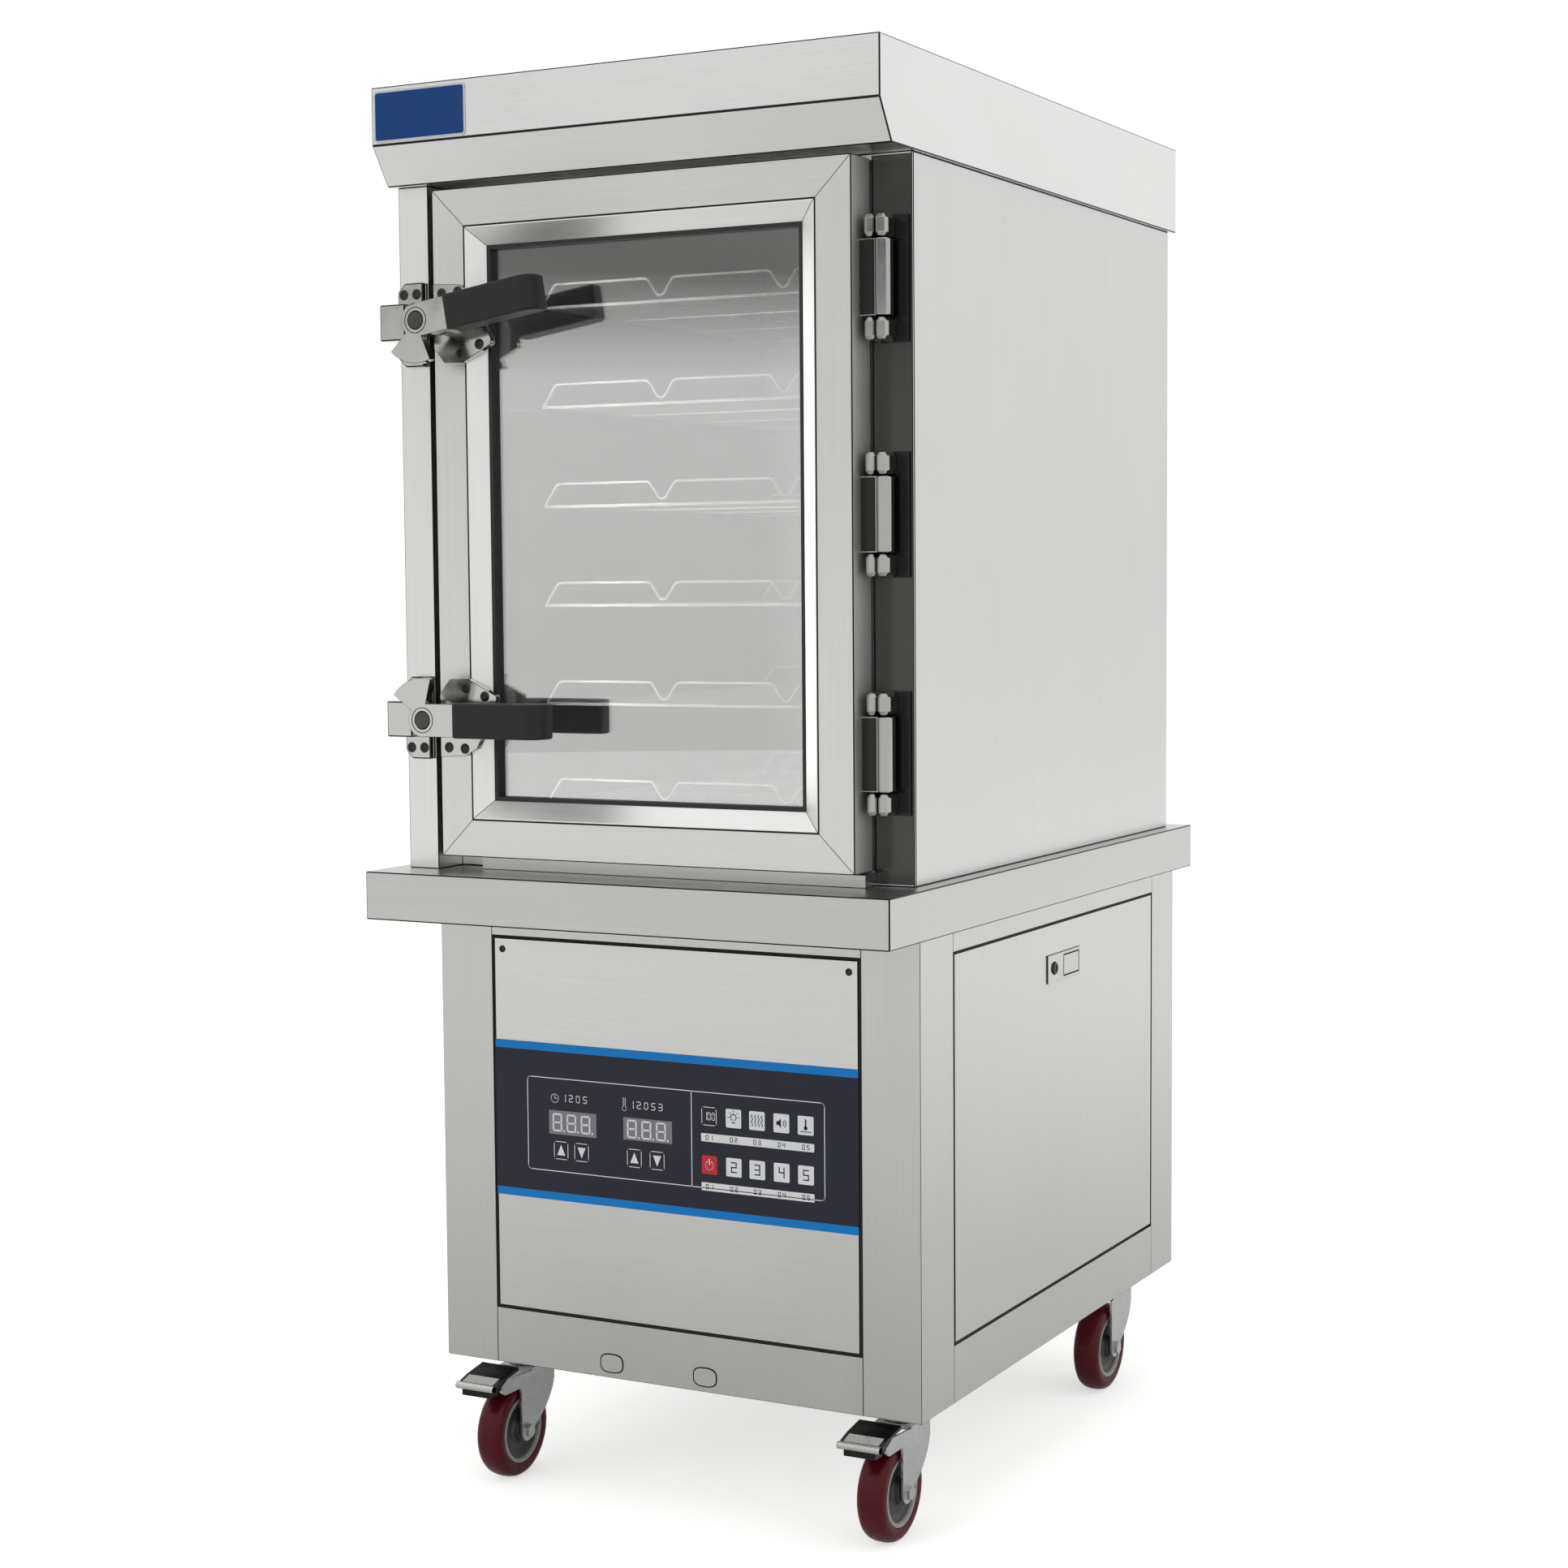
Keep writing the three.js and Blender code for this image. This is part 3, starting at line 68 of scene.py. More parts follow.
# The studio: pale walls, white paper underfoot and large soft boxes. In the metal the paper shows
# greyer near the cabinet than further off, which gives the lower sheets their soft fall-off. A
# grey curtain high on the front wall shades the top of the door's glass.
horizon_tone, upper_tone, curtain_tone, paper_tone = "#f5f5f3", "#ffffff", "#868684", "#e4e4e2"
horizon_low, horizon_high, unseen_glow = -0.05, 0.15, 0.72
curtain_level, curtain_core, curtain_edge, curtain_front, curtain_back = 0.122, 0.010, 0.048, -0.3, 0.1
paper_lift = 0.56
mirrored_start, mirrored_full, mirrored_lift = -0.70, -0.35, 0.14
far_start, far_full, far_lift = 1.0, 4.2, 0.38
floor_radius, floor_sides = 14, 96


def linear(hex_colour):
    channels = [int(hex_colour[start:start + 2], 16) / 255 for start in (1, 3, 5)]
    return tuple(c / 12.92 if c <= 0.04045 else ((c + 0.055) / 1.055) ** 2.4 for c in channels) + (1,)


def add_node(tree, kind, *values, **settings):
    """Adds a node, whose kind is given without ShaderNode or GeometryNode. The values fill its
    inputs in order, or by name where they come as one dict. Each is a plain value, or the socket
    that feeds the input, or a node whose first output does."""
    node = tree.nodes.new(tree.type.title() + "Node" + kind)
    for key, value in settings.items():
        setattr(node, key, value)
    named = values[0] if values and isinstance(values[0], dict) else dict(enumerate(values))
    for key, value in named.items():
        if isinstance(value, bpy.types.Node):
            value = value.outputs[0]
        if isinstance(value, bpy.types.NodeSocket):
            tree.links.new(value, node.inputs[key])
        else:
            node.inputs[key].default_value = value
    return node


def new_material(name):
    """A material with an empty tree, the tree, and the socket of the piece's own coordinates."""
    material = bpy.data.materials.new(name)
    material.use_nodes = True
    tree = material.node_tree
    tree.nodes.clear()
    return material, tree, add_node(tree, "TexCoord").outputs["Object"]


def seen_rays(tree):
    """Two factors: rays of the camera and through glass, and rays that show in reflections."""
    rays = add_node(tree, "LightPath").outputs
    direct = add_node(tree, "Math", rays["Is Camera Ray"], rays["Is Transmission Ray"],
                      operation="ADD", use_clamp=True)
    return direct, rays["Is Glossy Ray"]


world = bpy.data.worlds.new("studio")
scene.world = world
world.use_nodes = True
sky = world.node_tree
sky.nodes.clear()
direction = add_node(sky, "TexCoord").outputs["Generated"]
ways = add_node(sky, "SeparateXYZ", direction).outputs
above = add_node(sky, "Math", ways["Z"], curtain_level, operation="SUBTRACT")
from_curtain = add_node(sky, "Math", above, operation="ABSOLUTE")
high_band = add_node(sky, "MapRange", from_curtain, curtain_core, curtain_edge, 1, 0)
front_side = add_node(sky, "MapRange", ways["Y"], curtain_front, curtain_back, 1, 0)
curtain = add_node(sky, "Math", high_band, front_side, operation="MULTIPLY")
paper_seen = add_node(sky, "LightPath").outputs["Is Camera Ray"]
wall = linear(horizon_tone)
for factor, tone in (
    (add_node(sky, "MapRange", ways["Z"], horizon_low, horizon_high), upper_tone),
    (curtain, curtain_tone),
    (paper_seen, upper_tone),
):
    wall = add_node(sky, "Mix", {
        "Factor": factor, "A": wall, "B": linear(tone)}, data_type="RGBA").outputs["Result"]
shown = add_node(sky, "Math", *seen_rays(sky), operation="ADD", use_clamp=True)
strength = add_node(sky, "MapRange", shown, 0, 1, unseen_glow, 1)
glow = add_node(sky, "Background", {"Color": wall, "Strength": strength})
add_node(sky, "OutputWorld", glow)


def soft_box(name, place, aim, width, height, watts, mirrored=False):
    """A large even lamp. The metal mirrors the pale walls alone, unless the lamp is to show in it."""
    lamp = bpy.data.lights.new(name, "AREA")
    lamp.shape = "RECTANGLE"
    lamp.size, lamp.size_y, lamp.energy = width, height, watts
    stand = bpy.data.objects.new(name, lamp)
    facing = (Vector(aim) - Vector(place)).to_track_quat("-Z", "Y")
    stand.matrix_world = Matrix.Translation(place) @ facing.to_matrix().to_4x4()
    stand.visible_glossy = stand.visible_transmission = mirrored
    scene.collection.objects.link(stand)


soft_box("soft_box_front", (-2.4, -4.4, 2.4), (0, 0, 1.0), 3.4, 2.6, 28)
soft_box("soft_box_right", (3.9, 1.9, 2.6), (0, 0, 1.0), 2.6, 2.4, 17)
soft_box("soft_box_top", (0.1, -0.4, 4.2), (0, 0, 0.6), 2.4, 2.4, 18)
soft_box("chamber_strip_lamp", (-0.236, -0.325, 1.09), (0.1, 0.2, 1.09), 0.012, 0.62, 4.5, True)

floor_mesh = bmesh.new()
bmesh.ops.create_circle(floor_mesh, cap_ends=True, radius=floor_radius, segments=floor_sides)
floor = bpy.data.objects.new("floor", bpy.data.meshes.new("floor"))
floor_mesh.to_mesh(floor.data)
floor_paint, tree, ground_place = new_material("matt_studio_floor")
ground_y = add_node(tree, "SeparateXYZ", ground_place).outputs["Y"]
from_middle = add_node(tree, "VectorMath", ground_place, operation="LENGTH").outputs["Value"]
direct, mirrored = seen_rays(tree)
paper = add_node(tree, "Math", direct, paper_lift, operation="MULTIPLY")
near_glow = add_node(tree, "MapRange", ground_y, mirrored_start, mirrored_full, 0, mirrored_lift)
far_glow = add_node(tree, "MapRange", from_middle, far_start, far_full, 0, far_lift)
both = add_node(tree, "Math", near_glow, far_glow, operation="ADD")
reflected = add_node(tree, "Math", both, mirrored, operation="MULTIPLY")
strength = add_node(tree, "Math", paper, reflected, operation="ADD")
lift = add_node(tree, "Emission", {"Color": linear(upper_tone), "Strength": strength})
ground = add_node(tree, "BsdfDiffuse", {"Color": linear(paper_tone), "Roughness": 0.5})
add_node(tree, "OutputMaterial", add_node(tree, "AddShader", ground, lift))
floor.data.materials.append(floor_paint)
scene.collection.objects.link(floor)


# Base frame: a welded tub of folded stainless sheet with four corner posts and a rail all round.
# The sheet is satin finished, so it shows fine straight grain and soft, blurred reflections.
# A fine dark seam runs down each post's inner edge, through the rails as well.
post_seams_at, seam_width, post_side_x = (0.2315, -0.2495, 0.3585), 0.0012, 0.2985
grain_mm, grain_length_mm = 1.3, 260
weld_distance, flat_angle, rounded_angle, sharp_angle = 2e-5, 2, 28, 32


# The parts are of one stainless sheet, and each part's colour is matched to how bright that part looks;
# their different tones are partly the sheets' own and partly painted light and shade.
def stainless(part, colour, grain_axes, roughness=0.3, seams=None):
    """Satin stainless steel: fine straight grain from belt grinding, a little uneven from handling.
    The real grain is about 0.2 mm across and is drawn coarser, so that it shows. Seams is a function
    that gives the lines where sheets meet, and the part on which the second grain axis holds."""
    material, tree, place = new_material("satin_stainless_" + part)
    seam_lines, members = seams(tree, place) if seams else (None, None)
    grains = []
    for axis in grain_axes:
        scale = [1000 / (grain_length_mm if letter == axis else grain_mm) for letter in "xyz"]
        stretched = add_node(tree, "Mapping", {"Vector": place, "Scale": scale})
        grains.append(add_node(tree, "TexNoise", {
            "Vector": stretched, "Scale": 1.0, "Detail": 2.0, "Roughness": 0.6}))
    lines = grains[0]
    if len(grains) > 1:
        lines = add_node(tree, "Mix", {"Factor": members, "A": lines, "B": grains[1]}).outputs["Result"]
    cloud = add_node(tree, "TexNoise", {"Vector": place, "Scale": 5.0, "Detail": 3.0})
    worn = add_node(tree, "MapRange", cloud, 0.3, 0.7, 0.975, 1.02)
    ground = add_node(tree, "MapRange", lines, 0.3, 0.7, 0.97, 1.02)
    depth = add_node(tree, "Math", ground, worn, operation="MULTIPLY")
    if seams:
        open_metal = add_node(tree, "MapRange", seam_lines, 0, 1, 1, 0.1)
        depth = add_node(tree, "Math", depth, open_metal, operation="MULTIPLY")
    tint = add_node(tree, "VectorMath", {0: linear(colour)[:3], "Scale": depth}, operation="SCALE")
    dull = add_node(tree, "MapRange", cloud, 0.25, 0.75, roughness - 0.03, roughness + 0.04)
    bump = add_node(tree, "Bump", {"Height": lines, "Strength": 0.06, "Distance": 0.0004})
    add_node(tree, "OutputMaterial", add_node(tree, "BsdfPrincipled", {
        "Base Color": tint, "Metallic": 1.0, "Normal": bump, "Roughness": dull}))
    return material


def fine_line(tree, distance, width):
    """1 on a line of that width, 0 off it."""
    away = add_node(tree, "Math", distance, operation="ABSOLUTE")
    return add_node(tree, "MapRange", away, width * 0.35, width * 0.65, 1, 0)


def post_seams(tree, place):
    """The lines of the posts' seams. The grain runs one way all over, so there is no second value."""
    parts = add_node(tree, "SeparateXYZ", place).outputs
    across = add_node(tree, "Math", parts["X"], operation="ABSOLUTE")
    outside = add_node(tree, "Math", across, post_side_x, operation="GREATER_THAN")
    face, front, rear = (
        fine_line(tree, add_node(tree, "Math", part, seam, operation="SUBTRACT"), seam_width)
        for part, seam in zip((across, parts["Y"], parts["Y"]), post_seams_at))
    beside = add_node(tree, "Math", front, rear, operation="MAXIMUM")
    beside = add_node(tree, "Math", beside, outside, operation="MULTIPLY")
    return add_node(tree, "Math", face, beside, operation="MAXIMUM"), None


def show(shape, name, edge=0.0, segments=2, smooth=True):
    """Turns built geometry into an object in the scene, with its sharp corners rounded."""
    bmesh.ops.recalc_face_normals(shape, faces=shape.faces)
    piece = bpy.data.objects.new(name, bpy.data.meshes.new(name))
    shape.to_mesh(piece.data)
    shape.free()
    scene.collection.objects.link(piece)
    # Normals that came with a CAD mesh don't fit its rounded edges.
    if "custom_normal" in piece.data.attributes:
        piece.data.attributes.remove(piece.data.attributes["custom_normal"])
    for face in piece.data.polygons:
        face.use_smooth = smooth
    if edge:
        bevel = piece.modifiers.new("edge", "BEVEL")
        bevel.width, bevel.segments = edge, segments
        bevel.limit_method, bevel.angle_limit = "ANGLE", math.radians(rounded_angle)
        bevel.harden_normals = True
    elif smooth:
        piece.data.set_sharp_from_angle(angle=math.radians(sharp_angle))
    return piece


def settle(piece, body, slot, material, *nodes, edges=None):
    """Finishes a piece: its material, the CAD nodes that it stands for and its body. The slot is not used.
    Another material on its rounded edges paints them as fine dark lines: painted shade and dark reflection
    along the edges."""
    piece.data.materials.clear()
    piece.data.materials.append(material)
    if edges:
        piece.data.materials.append(edges)
        piece.modifiers["edge"].material = 1
    if nodes:
        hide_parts(*nodes)
    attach(piece, body)


def dress(node, name, edge, body, slot, material, edges=None, segments=2):
    """The node's own solid with its sharp corners rounded, as a folded or ground edge is."""
    shape = bmesh.new()
    shape.from_mesh(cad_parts[node].data)
    bmesh.ops.remove_doubles(shape, verts=shape.verts, dist=weld_distance)
    bmesh.ops.dissolve_limit(
        shape, angle_limit=math.radians(flat_angle), verts=shape.verts, edges=shape.edges)
    settle(show(shape, name, edge, segments), body, slot, material, node, edges=edges)


# Painted shade: this near black steel, named for the bends, goes on the rounded edges of the sheets as fine
# dark lines where the edges fall into shade.
painted_shade_edge_steel = stainless("bends", "#2c2c2b", "z")
post_steel = stainless("posts", "#c8c8c6", "z", seams=post_seams)
dress("base_frame", "corner_posts_and_rails", 0.0013, "cabinet", "steel", post_steel, painted_shade_edge_steel)
dress("base_skin", "rear_and_left_skin", 0.0006, "cabinet", "steel",
      stainless("skin", "#c8c8c6", "z", 0.34))


# Front panel: a shallow folded tray of the same sheet, held by a screw in each upper corner.
# The screws are small blackened pan heads with a round recess.
dress("front_panel", "front_panel_tray", 0.0007, "cabinet", "steel",
      stainless("panel", "#d2d2d0", "x", 0.27), painted_shade_edge_steel)
panel_low, panel_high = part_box("front_panel")
panel_face = panel_low.y
screw_inset_x, screw_inset_z, screw_sizes = 0.0105, 0.0123, (0.004, 0.0012, 0.5)
out_front = (math.radians(90), 0, 0)


def loft(shape, loops, closed=False):
    """Joins loops of points with faces, and then caps the ends, or joins them where it is closed.
    A loop of one point is a pole."""
    rows = [[shape.verts.new(point) for point in loop] for loop in loops]
    for one, other in zip(rows, rows[1:] + (rows[:1] if closed else [])):
        for step in range(max(len(one), len(other))):
            corners = [one[step % len(one)], one[(step + 1) % len(one)],
                       other[(step + 1) % len(other)], other[step % len(other)]]
            shape.faces.new(list(dict.fromkeys(corners)))
    for row in () if closed else (rows[0], rows[-1]):
        if len(row) > 1:
            shape.faces.new(row)


def turned(shape, profile, matrix=Matrix(), sides=20):
    """Adds a closed body of revolution about Z from radii and heights. Radius 0 at the ends closes it."""
    loops = []
    for radius, height in profile:
        angles = [2 * math.pi * step / sides for step in range(sides if radius else 1)]
        loops.append([matrix @ Vector((radius * math.cos(angle), radius * math.sin(angle), height))
                      for angle in angles])
    loft(shape, loops, closed=profile[0][0] > 0)


def open_tree(name, labels):
    """Starts a Geometry Nodes tree. Gives the tree, the inputs' identifiers and their sockets."""
    tree = bpy.data.node_groups.new(name, "GeometryNodeTree")
    keys = {label: tree.interface.new_socket(label, in_out="INPUT", socket_type=kind).identifier
            for label, kind in labels.items()}
    tree.interface.new_socket("Shape", in_out="OUTPUT", socket_type="NodeSocketGeometry")
    return tree, keys, tree.nodes.new("NodeGroupInput").outputs


def close_tree(tree, shape, material):
    real = add_node(tree, "RealizeInstances", shape)
    coloured = add_node(tree, "SetMaterial", {"Geometry": real, "Material": material})
    tree.links.new(coloured.outputs[0], tree.nodes.new("NodeGroupOutput").inputs[0])


def grown(tree, keys, values, *lines):
    """The plain mesh that the tree makes from lines of points, with these values as its inputs."""
    points, edges = [], []
    for line in lines:
        edges += [(len(points) + step, len(points) + step + 1) for step in range(len(line) - 1)]
        points += line
    carrier = bpy.data.objects.new("carrier", bpy.data.meshes.new("carrier"))
    carrier.data.from_pydata(points, edges, [])
    scene.collection.objects.link(carrier)
    pattern = carrier.modifiers.new("pattern", "NODES")
    pattern.node_group = tree
    for label, value in values.items():
        pattern[keys[label]] = value
    made = bpy.data.meshes.new_from_object(
        carrier.evaluated_get(bpy.context.evaluated_depsgraph_get()))
    bpy.data.objects.remove(carrier)
    return made


def finish(name, colour, roughness, haze=0.0, cloud=None, relief=None, shade=None, metallic=0.0, gloss=0.5):
    """A material with a fine texture. Cloud is a noise's scale and detail, relief is another's, with
    the strength and depth of the bump. The cloud moves the roughness by haze and shades the colour."""
    material, tree, place = new_material(name)
    inputs = {"Base Color": linear(colour), "Roughness": roughness, "Metallic": metallic,
              "Specular IOR Level": gloss}
    if cloud:
        noise = add_node(tree, "TexNoise", {"Vector": place, "Scale": cloud[0], "Detail": cloud[1]})
        inputs["Roughness"] = add_node(
            tree, "MapRange", noise, 0.3, 0.7, roughness - haze, roughness + haze)
    if shade:
        depth = add_node(tree, "MapRange", noise, 0.3, 0.7, *shade)
        inputs["Base Color"] = add_node(
            tree, "VectorMath", {0: linear(colour)[:3], "Scale": depth}, operation="SCALE")
    if relief:
        scale, detail, strength, deep = relief
        grain = add_node(tree, "TexNoise", {"Vector": place, "Scale": scale, "Detail": detail})
        inputs["Normal"] = add_node(
            tree, "Bump", {"Height": grain, "Strength": strength, "Distance": deep})
    add_node(tree, "OutputMaterial", add_node(tree, "BsdfPrincipled", inputs))
    return material


# Blackened steel: dark, with a dull shine that varies a little over the surface.
blackened = {"haze": 0.08, "cloud": (900, 2), "metallic": 0.8}
screw_black = finish("blackened_screw_steel", "#3a3a3a", 0.35, **blackened)
screw_tree, screw_keys, sockets = open_tree("screw_heads", {
    "Places": "NodeSocketGeometry", "Part": "NodeSocketObject", "Turn": "NodeSocketRotation"})
one_head = add_node(screw_tree, "ObjectInfo", {"Object": sockets["Part"]})
close_tree(screw_tree, add_node(screw_tree, "InstanceOnPoints", {
    "Points": sockets["Places"], "Instance": one_head.outputs["Geometry"], "Rotation": sockets["Turn"],
}), screw_black)


def screws(name, places, radius, rise, recess, body, slot):
    """A low dome with a socket sunk in it at each place, turned to look out of the front."""
    shape = bmesh.new()
    turned(shape, [
        (0, -rise), (radius, -rise), (radius, 0.3 * rise), (radius * 0.82, 0.8 * rise),
        (radius * recess, rise), (radius * recess * 0.8, 0.1 * rise), (0, 0),
    ])
    head = show(shape, "one_head")
    made = grown(screw_tree, screw_keys, {"Part": head, "Turn": out_front}, *([place] for place in places))
    heads = bpy.data.objects.new(name, made)
    scene.collection.objects.link(heads)
    bpy.data.objects.remove(head)
    settle(heads, body, slot, screw_black)


screw_level = panel_high.z - screw_inset_z
screws("panel_screws", [
    (panel_low.x + screw_inset_x, panel_face, screw_level),
    (panel_high.x - screw_inset_x, panel_face, screw_level),
], *screw_sizes, "cabinet", "zinc")


# Gap tape: black foam strip stuck in the gaps round the front panel, and round the side panel but
# for its foot, where it turns.
tape_gap, tape_width, tape_depth, tape_set_back, tape_foot = 0.0003, 0.0024, 0.0028, 0.0008, 0.02
side_low, side_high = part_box("side_panel")
front_tape, side_tape = bmesh.new(), bmesh.new()
tape_y = (panel_face + tape_set_back, panel_face + tape_set_back + tape_depth)
tape_x = (side_high.x - tape_set_back - tape_depth, side_high.x - tape_set_back)
reach = tape_gap + tape_width


def slab(shape, x0, x1, y0, y1, z0, z1):
    """Adds a closed box between two corners."""
    loft(shape, [[(x, y0, z0), (x, y1, z0), (x, y1, z1), (x, y0, z1)] for x in (x0, x1)])


def beside(low, high):
    """The two spans that the tape fills, below low and above high."""
    return (low - reach, low - tape_gap), (high + tape_gap, high + reach)


def flat(shape, name, body, slot, material):
    """Finishes a piece that keeps its flat faces and sharp corners."""
    settle(show(shape, name, smooth=False), body, slot, material)


for span in beside(panel_low.x, panel_high.x):
    slab(front_tape, *span, *tape_y, panel_low.z - reach, panel_high.z + reach)
for span in beside(panel_low.z, panel_high.z):
    slab(front_tape, panel_low.x - tape_gap, panel_high.x + tape_gap, *tape_y, *span)
for span in beside(side_low.y, side_high.y):
    slab(side_tape, *tape_x, *span, side_low.z + tape_foot, side_high.z + reach)
slab(side_tape, *tape_x, side_low.y - tape_gap, side_high.y + tape_gap, *beside(0, side_high.z)[1])

# Rubber and foam: near black and matt, with a fine bloom on the surface.
rubbery = {"haze": 0.08, "cloud": (300, 3), "relief": (300, 3, 0.12, 0.0003)}
tape_foam = finish("black_foam_tape", "#161616", 0.8, **rubbery)
flat(front_tape, "front_panel_gap_tape", "cabinet", "rubber", tape_foam)
flat(side_tape, "side_panel_gap_tape", "cabinet", "rubber", tape_foam)


# Control film: printed polyester stuck to the panel, dark slate with a blue stripe above and below.
# The prints lie on its face as thin layers of ink: a frame, two windows with digits, and ten keys.
film_low, film_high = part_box("control_membrane")
film_face = film_low.y
ink, stripe, stripe_corner, caption_corner = 0.00008, 0.009, 0.0005, 0.001
frame_left, frame_right, frame_low, frame_high, frame_divider = -0.186, 0.188, 0.373, 0.478, 0.0256
frame_line, frame_corner = 0.0009, 0.004
window_rows, window_corner = ((-0.127, 0.4285, 0.062, 0.027), (-0.030, 0.4295, 0.062, 0.025)), 0.0008
key_columns = (0.0476, 0.0778, 0.1066, 0.1362, 0.1655)
upper_keys, lower_keys, key_width, key_height, key_corner = 0.452, 0.3985, 0.019, 0.0205, 0.0015
caption_rows, caption_width, caption_height = (0.4285, 0.3745), 0.138, 0.009
arrow_keys, arrow_level = ((-0.1425, 1), (-0.1157, -1), (-0.0473, 1), (-0.0183, -1)), 0.397
clock_x, clock_z, gauge_x, gauge_z = -0.150, 0.4555, -0.0595, 0.4515
segment_places = {
    "a": ((0, 2), (1, 2)), "b": ((1, 2), (1, 1)), "c": ((1, 1), (1, 0)), "d": ((0, 0), (1, 0)),
    "e": ((0, 1), (0, 0)), "f": ((0, 2), (0, 1)), "g": ((0, 1), (1, 1)),
}
numerals = {
    "0": "abcdef", "1": "bc", "2": "abged", "3": "abgcd", "4": "fgbc", "5": "afgcd", "8": "abcdefg",
}


def layer(shape, outline, front, back):
    """Adds a thin closed layer with an outline of X and Z."""
    loft(shape, [[(x, y, z) for x, z in outline] for y in (front, back)])


def flat_print(shape, outline, lift=0.0):
    """Adds a layer of ink to the face of the film."""
    layer(shape, outline, film_face - ink - lift, film_face + ink - lift)


def arc(x, z, radius, start, end, steps=10):
    turn = [math.radians(start + (end - start) * step / steps) for step in range(steps + 1)]
    return [(x + radius * math.cos(angle), z + radius * math.sin(angle)) for angle in turn]


def round_rectangle(x0, x1, z0, z1, corner):
    left, right, foot, top = x0 + corner, x1 - corner, z0 + corner, z1 - corner
    return (arc(right, top, corner, 0, 90, 4) + arc(left, top, corner, 90, 180, 4)
            + arc(left, foot, corner, 180, 270, 4) + arc(right, foot, corner, 270, 360, 4))


def patch(shape, x, z, width=key_width, height=key_height, corner=key_corner, lift=0.0):
    outline = round_rectangle(x - width / 2, x + width / 2, z - height / 2, z + height / 2, corner)
    flat_print(shape, outline, lift)


def stroke(shape, points, width, lift=0.0):
    """A printed line of even width through the points."""
    for start, end in zip(points, points[1:]):
        start, end = Vector(start), Vector(end)
        along = (end - start).normalized() * width / 2
        side = Vector((-along.y, along.x))
        flat_print(shape, [
            start - along + side, start - along - side, end + along - side, end + along + side,
        ], lift)


def numeral(shape, digit, x, z, width, height, thick, lift=0.0, gap=0.0):
    """A digit of straight bars about a centre. With a gap, the bars stand apart as in a display."""
    for name in numerals[digit]:
        start, end = (Vector((x + (side - 0.5) * width, z + (level - 1) * height / 2))
                      for side, level in segment_places[name])
        pull = (end - start).normalized() * gap
        stroke(shape, [start + pull, end - pull], thick, lift)


def sign(shape, x, z, strokes, lift=0.0):
    """A sign about a centre, from lists of points with the width of their stroke."""
    for points, width in strokes:
        stroke(shape, [(x + across, z + up) for across, up in points], width, lift)


# Printed polyester film: a flat even colour with a very fine satin texture.
printed = {"relief": (1600, 1, 0.08, 0.0001), "gloss": 0.2}
dress("control_membrane", "control_film", 0.0002, "cabinet", "film",
      finish("slate_printed_film", "#2c2c38", 0.32, **printed), segments=1)

blue_print, pale_print, window_print, digit_print, red_print, power_print, dark_print = (
    bmesh.new() for print_number in range(7))
for z in (film_high.z - stripe / 2, film_low.z + stripe / 2):
    patch(blue_print, 0, z, film_high.x - film_low.x, stripe, stripe_corner)

frame_outline = round_rectangle(frame_left, frame_right, frame_low, frame_high, frame_corner)
stroke(pale_print, frame_outline + frame_outline[:1], frame_line)
stroke(pale_print, [(frame_divider, frame_low), (frame_divider, frame_high)], frame_line)
for x in key_columns[1:]:
    patch(pale_print, x, upper_keys)
    patch(pale_print, x, lower_keys)
caption_x = (key_columns[0] + key_columns[-1]) / 2
for z in caption_rows:
    patch(pale_print, caption_x, z, caption_width, caption_height, caption_corner)
for x, z in [(x, arrow_level) for x, up in arrow_keys] + [(key_columns[0], upper_keys)]:
    half_width, half_height = key_width * 0.47, key_height * 0.48
    border = round_rectangle(x - half_width, x + half_width, z - half_height, z + half_height, key_corner)
    stroke(pale_print, border + border[:1], frame_line * 0.8)
for x, up in arrow_keys:
    foot = arrow_level - up * 0.0055
    flat_print(pale_print, [(x - 0.0052, foot), (x + 0.0052, foot), (x, arrow_level + up * 0.0065)])
for offset, digit in ((-0.0045, "1"), (0.0, "0"), (0.0052, "0")):
    numeral(pale_print, digit, key_columns[0] + offset, upper_keys, 0.0032, 0.008, 0.0008)
sign(pale_print, clock_x, clock_z, (
    (arc(0, 0, 0.0048, 0, 360, 18), 0.0010), ([(0, 0.003), (0, 0), (0.0024, 0)], 0.0008)))
sign(pale_print, gauge_x, gauge_z, (
    ([(-0.0012, 0.012), (-0.0012, 0.0025)], 0.0007), ([(0.0012, 0.012), (0.0012, 0.0025)], 0.0007),
    (arc(0, 0, 0.0027, 120, 420), 0.0008)))
for start, digits in ((-0.138, "1205"), (-0.050, "12053")):
    for index, digit in enumerate(digits):
        numeral(pale_print, digit, start + index * 0.0092, 0.4565, 0.0042, 0.0072, 0.0009)

for x, z, width, height in window_rows:
    patch(window_print, x, z, width, height, window_corner)
    for offset in (-0.0185, 0.0, 0.0185):
        numeral(digit_print, "8", x + offset - 0.0015, z, 0.0105, 0.0185, 0.0021, ink, 0.0012)
        patch(digit_print, x + offset + 0.0072, z - 0.0093, 0.0024, 0.0024, 0.001, ink)

patch(red_print, key_columns[0], lower_keys)
sign(power_print, key_columns[0], lower_keys, (
    (arc(0, -0.0005, 0.0048, 125, 415, 14), 0.0011), ([(0, 0.0062), (0, 0.0005)], 0.0011)), ink)

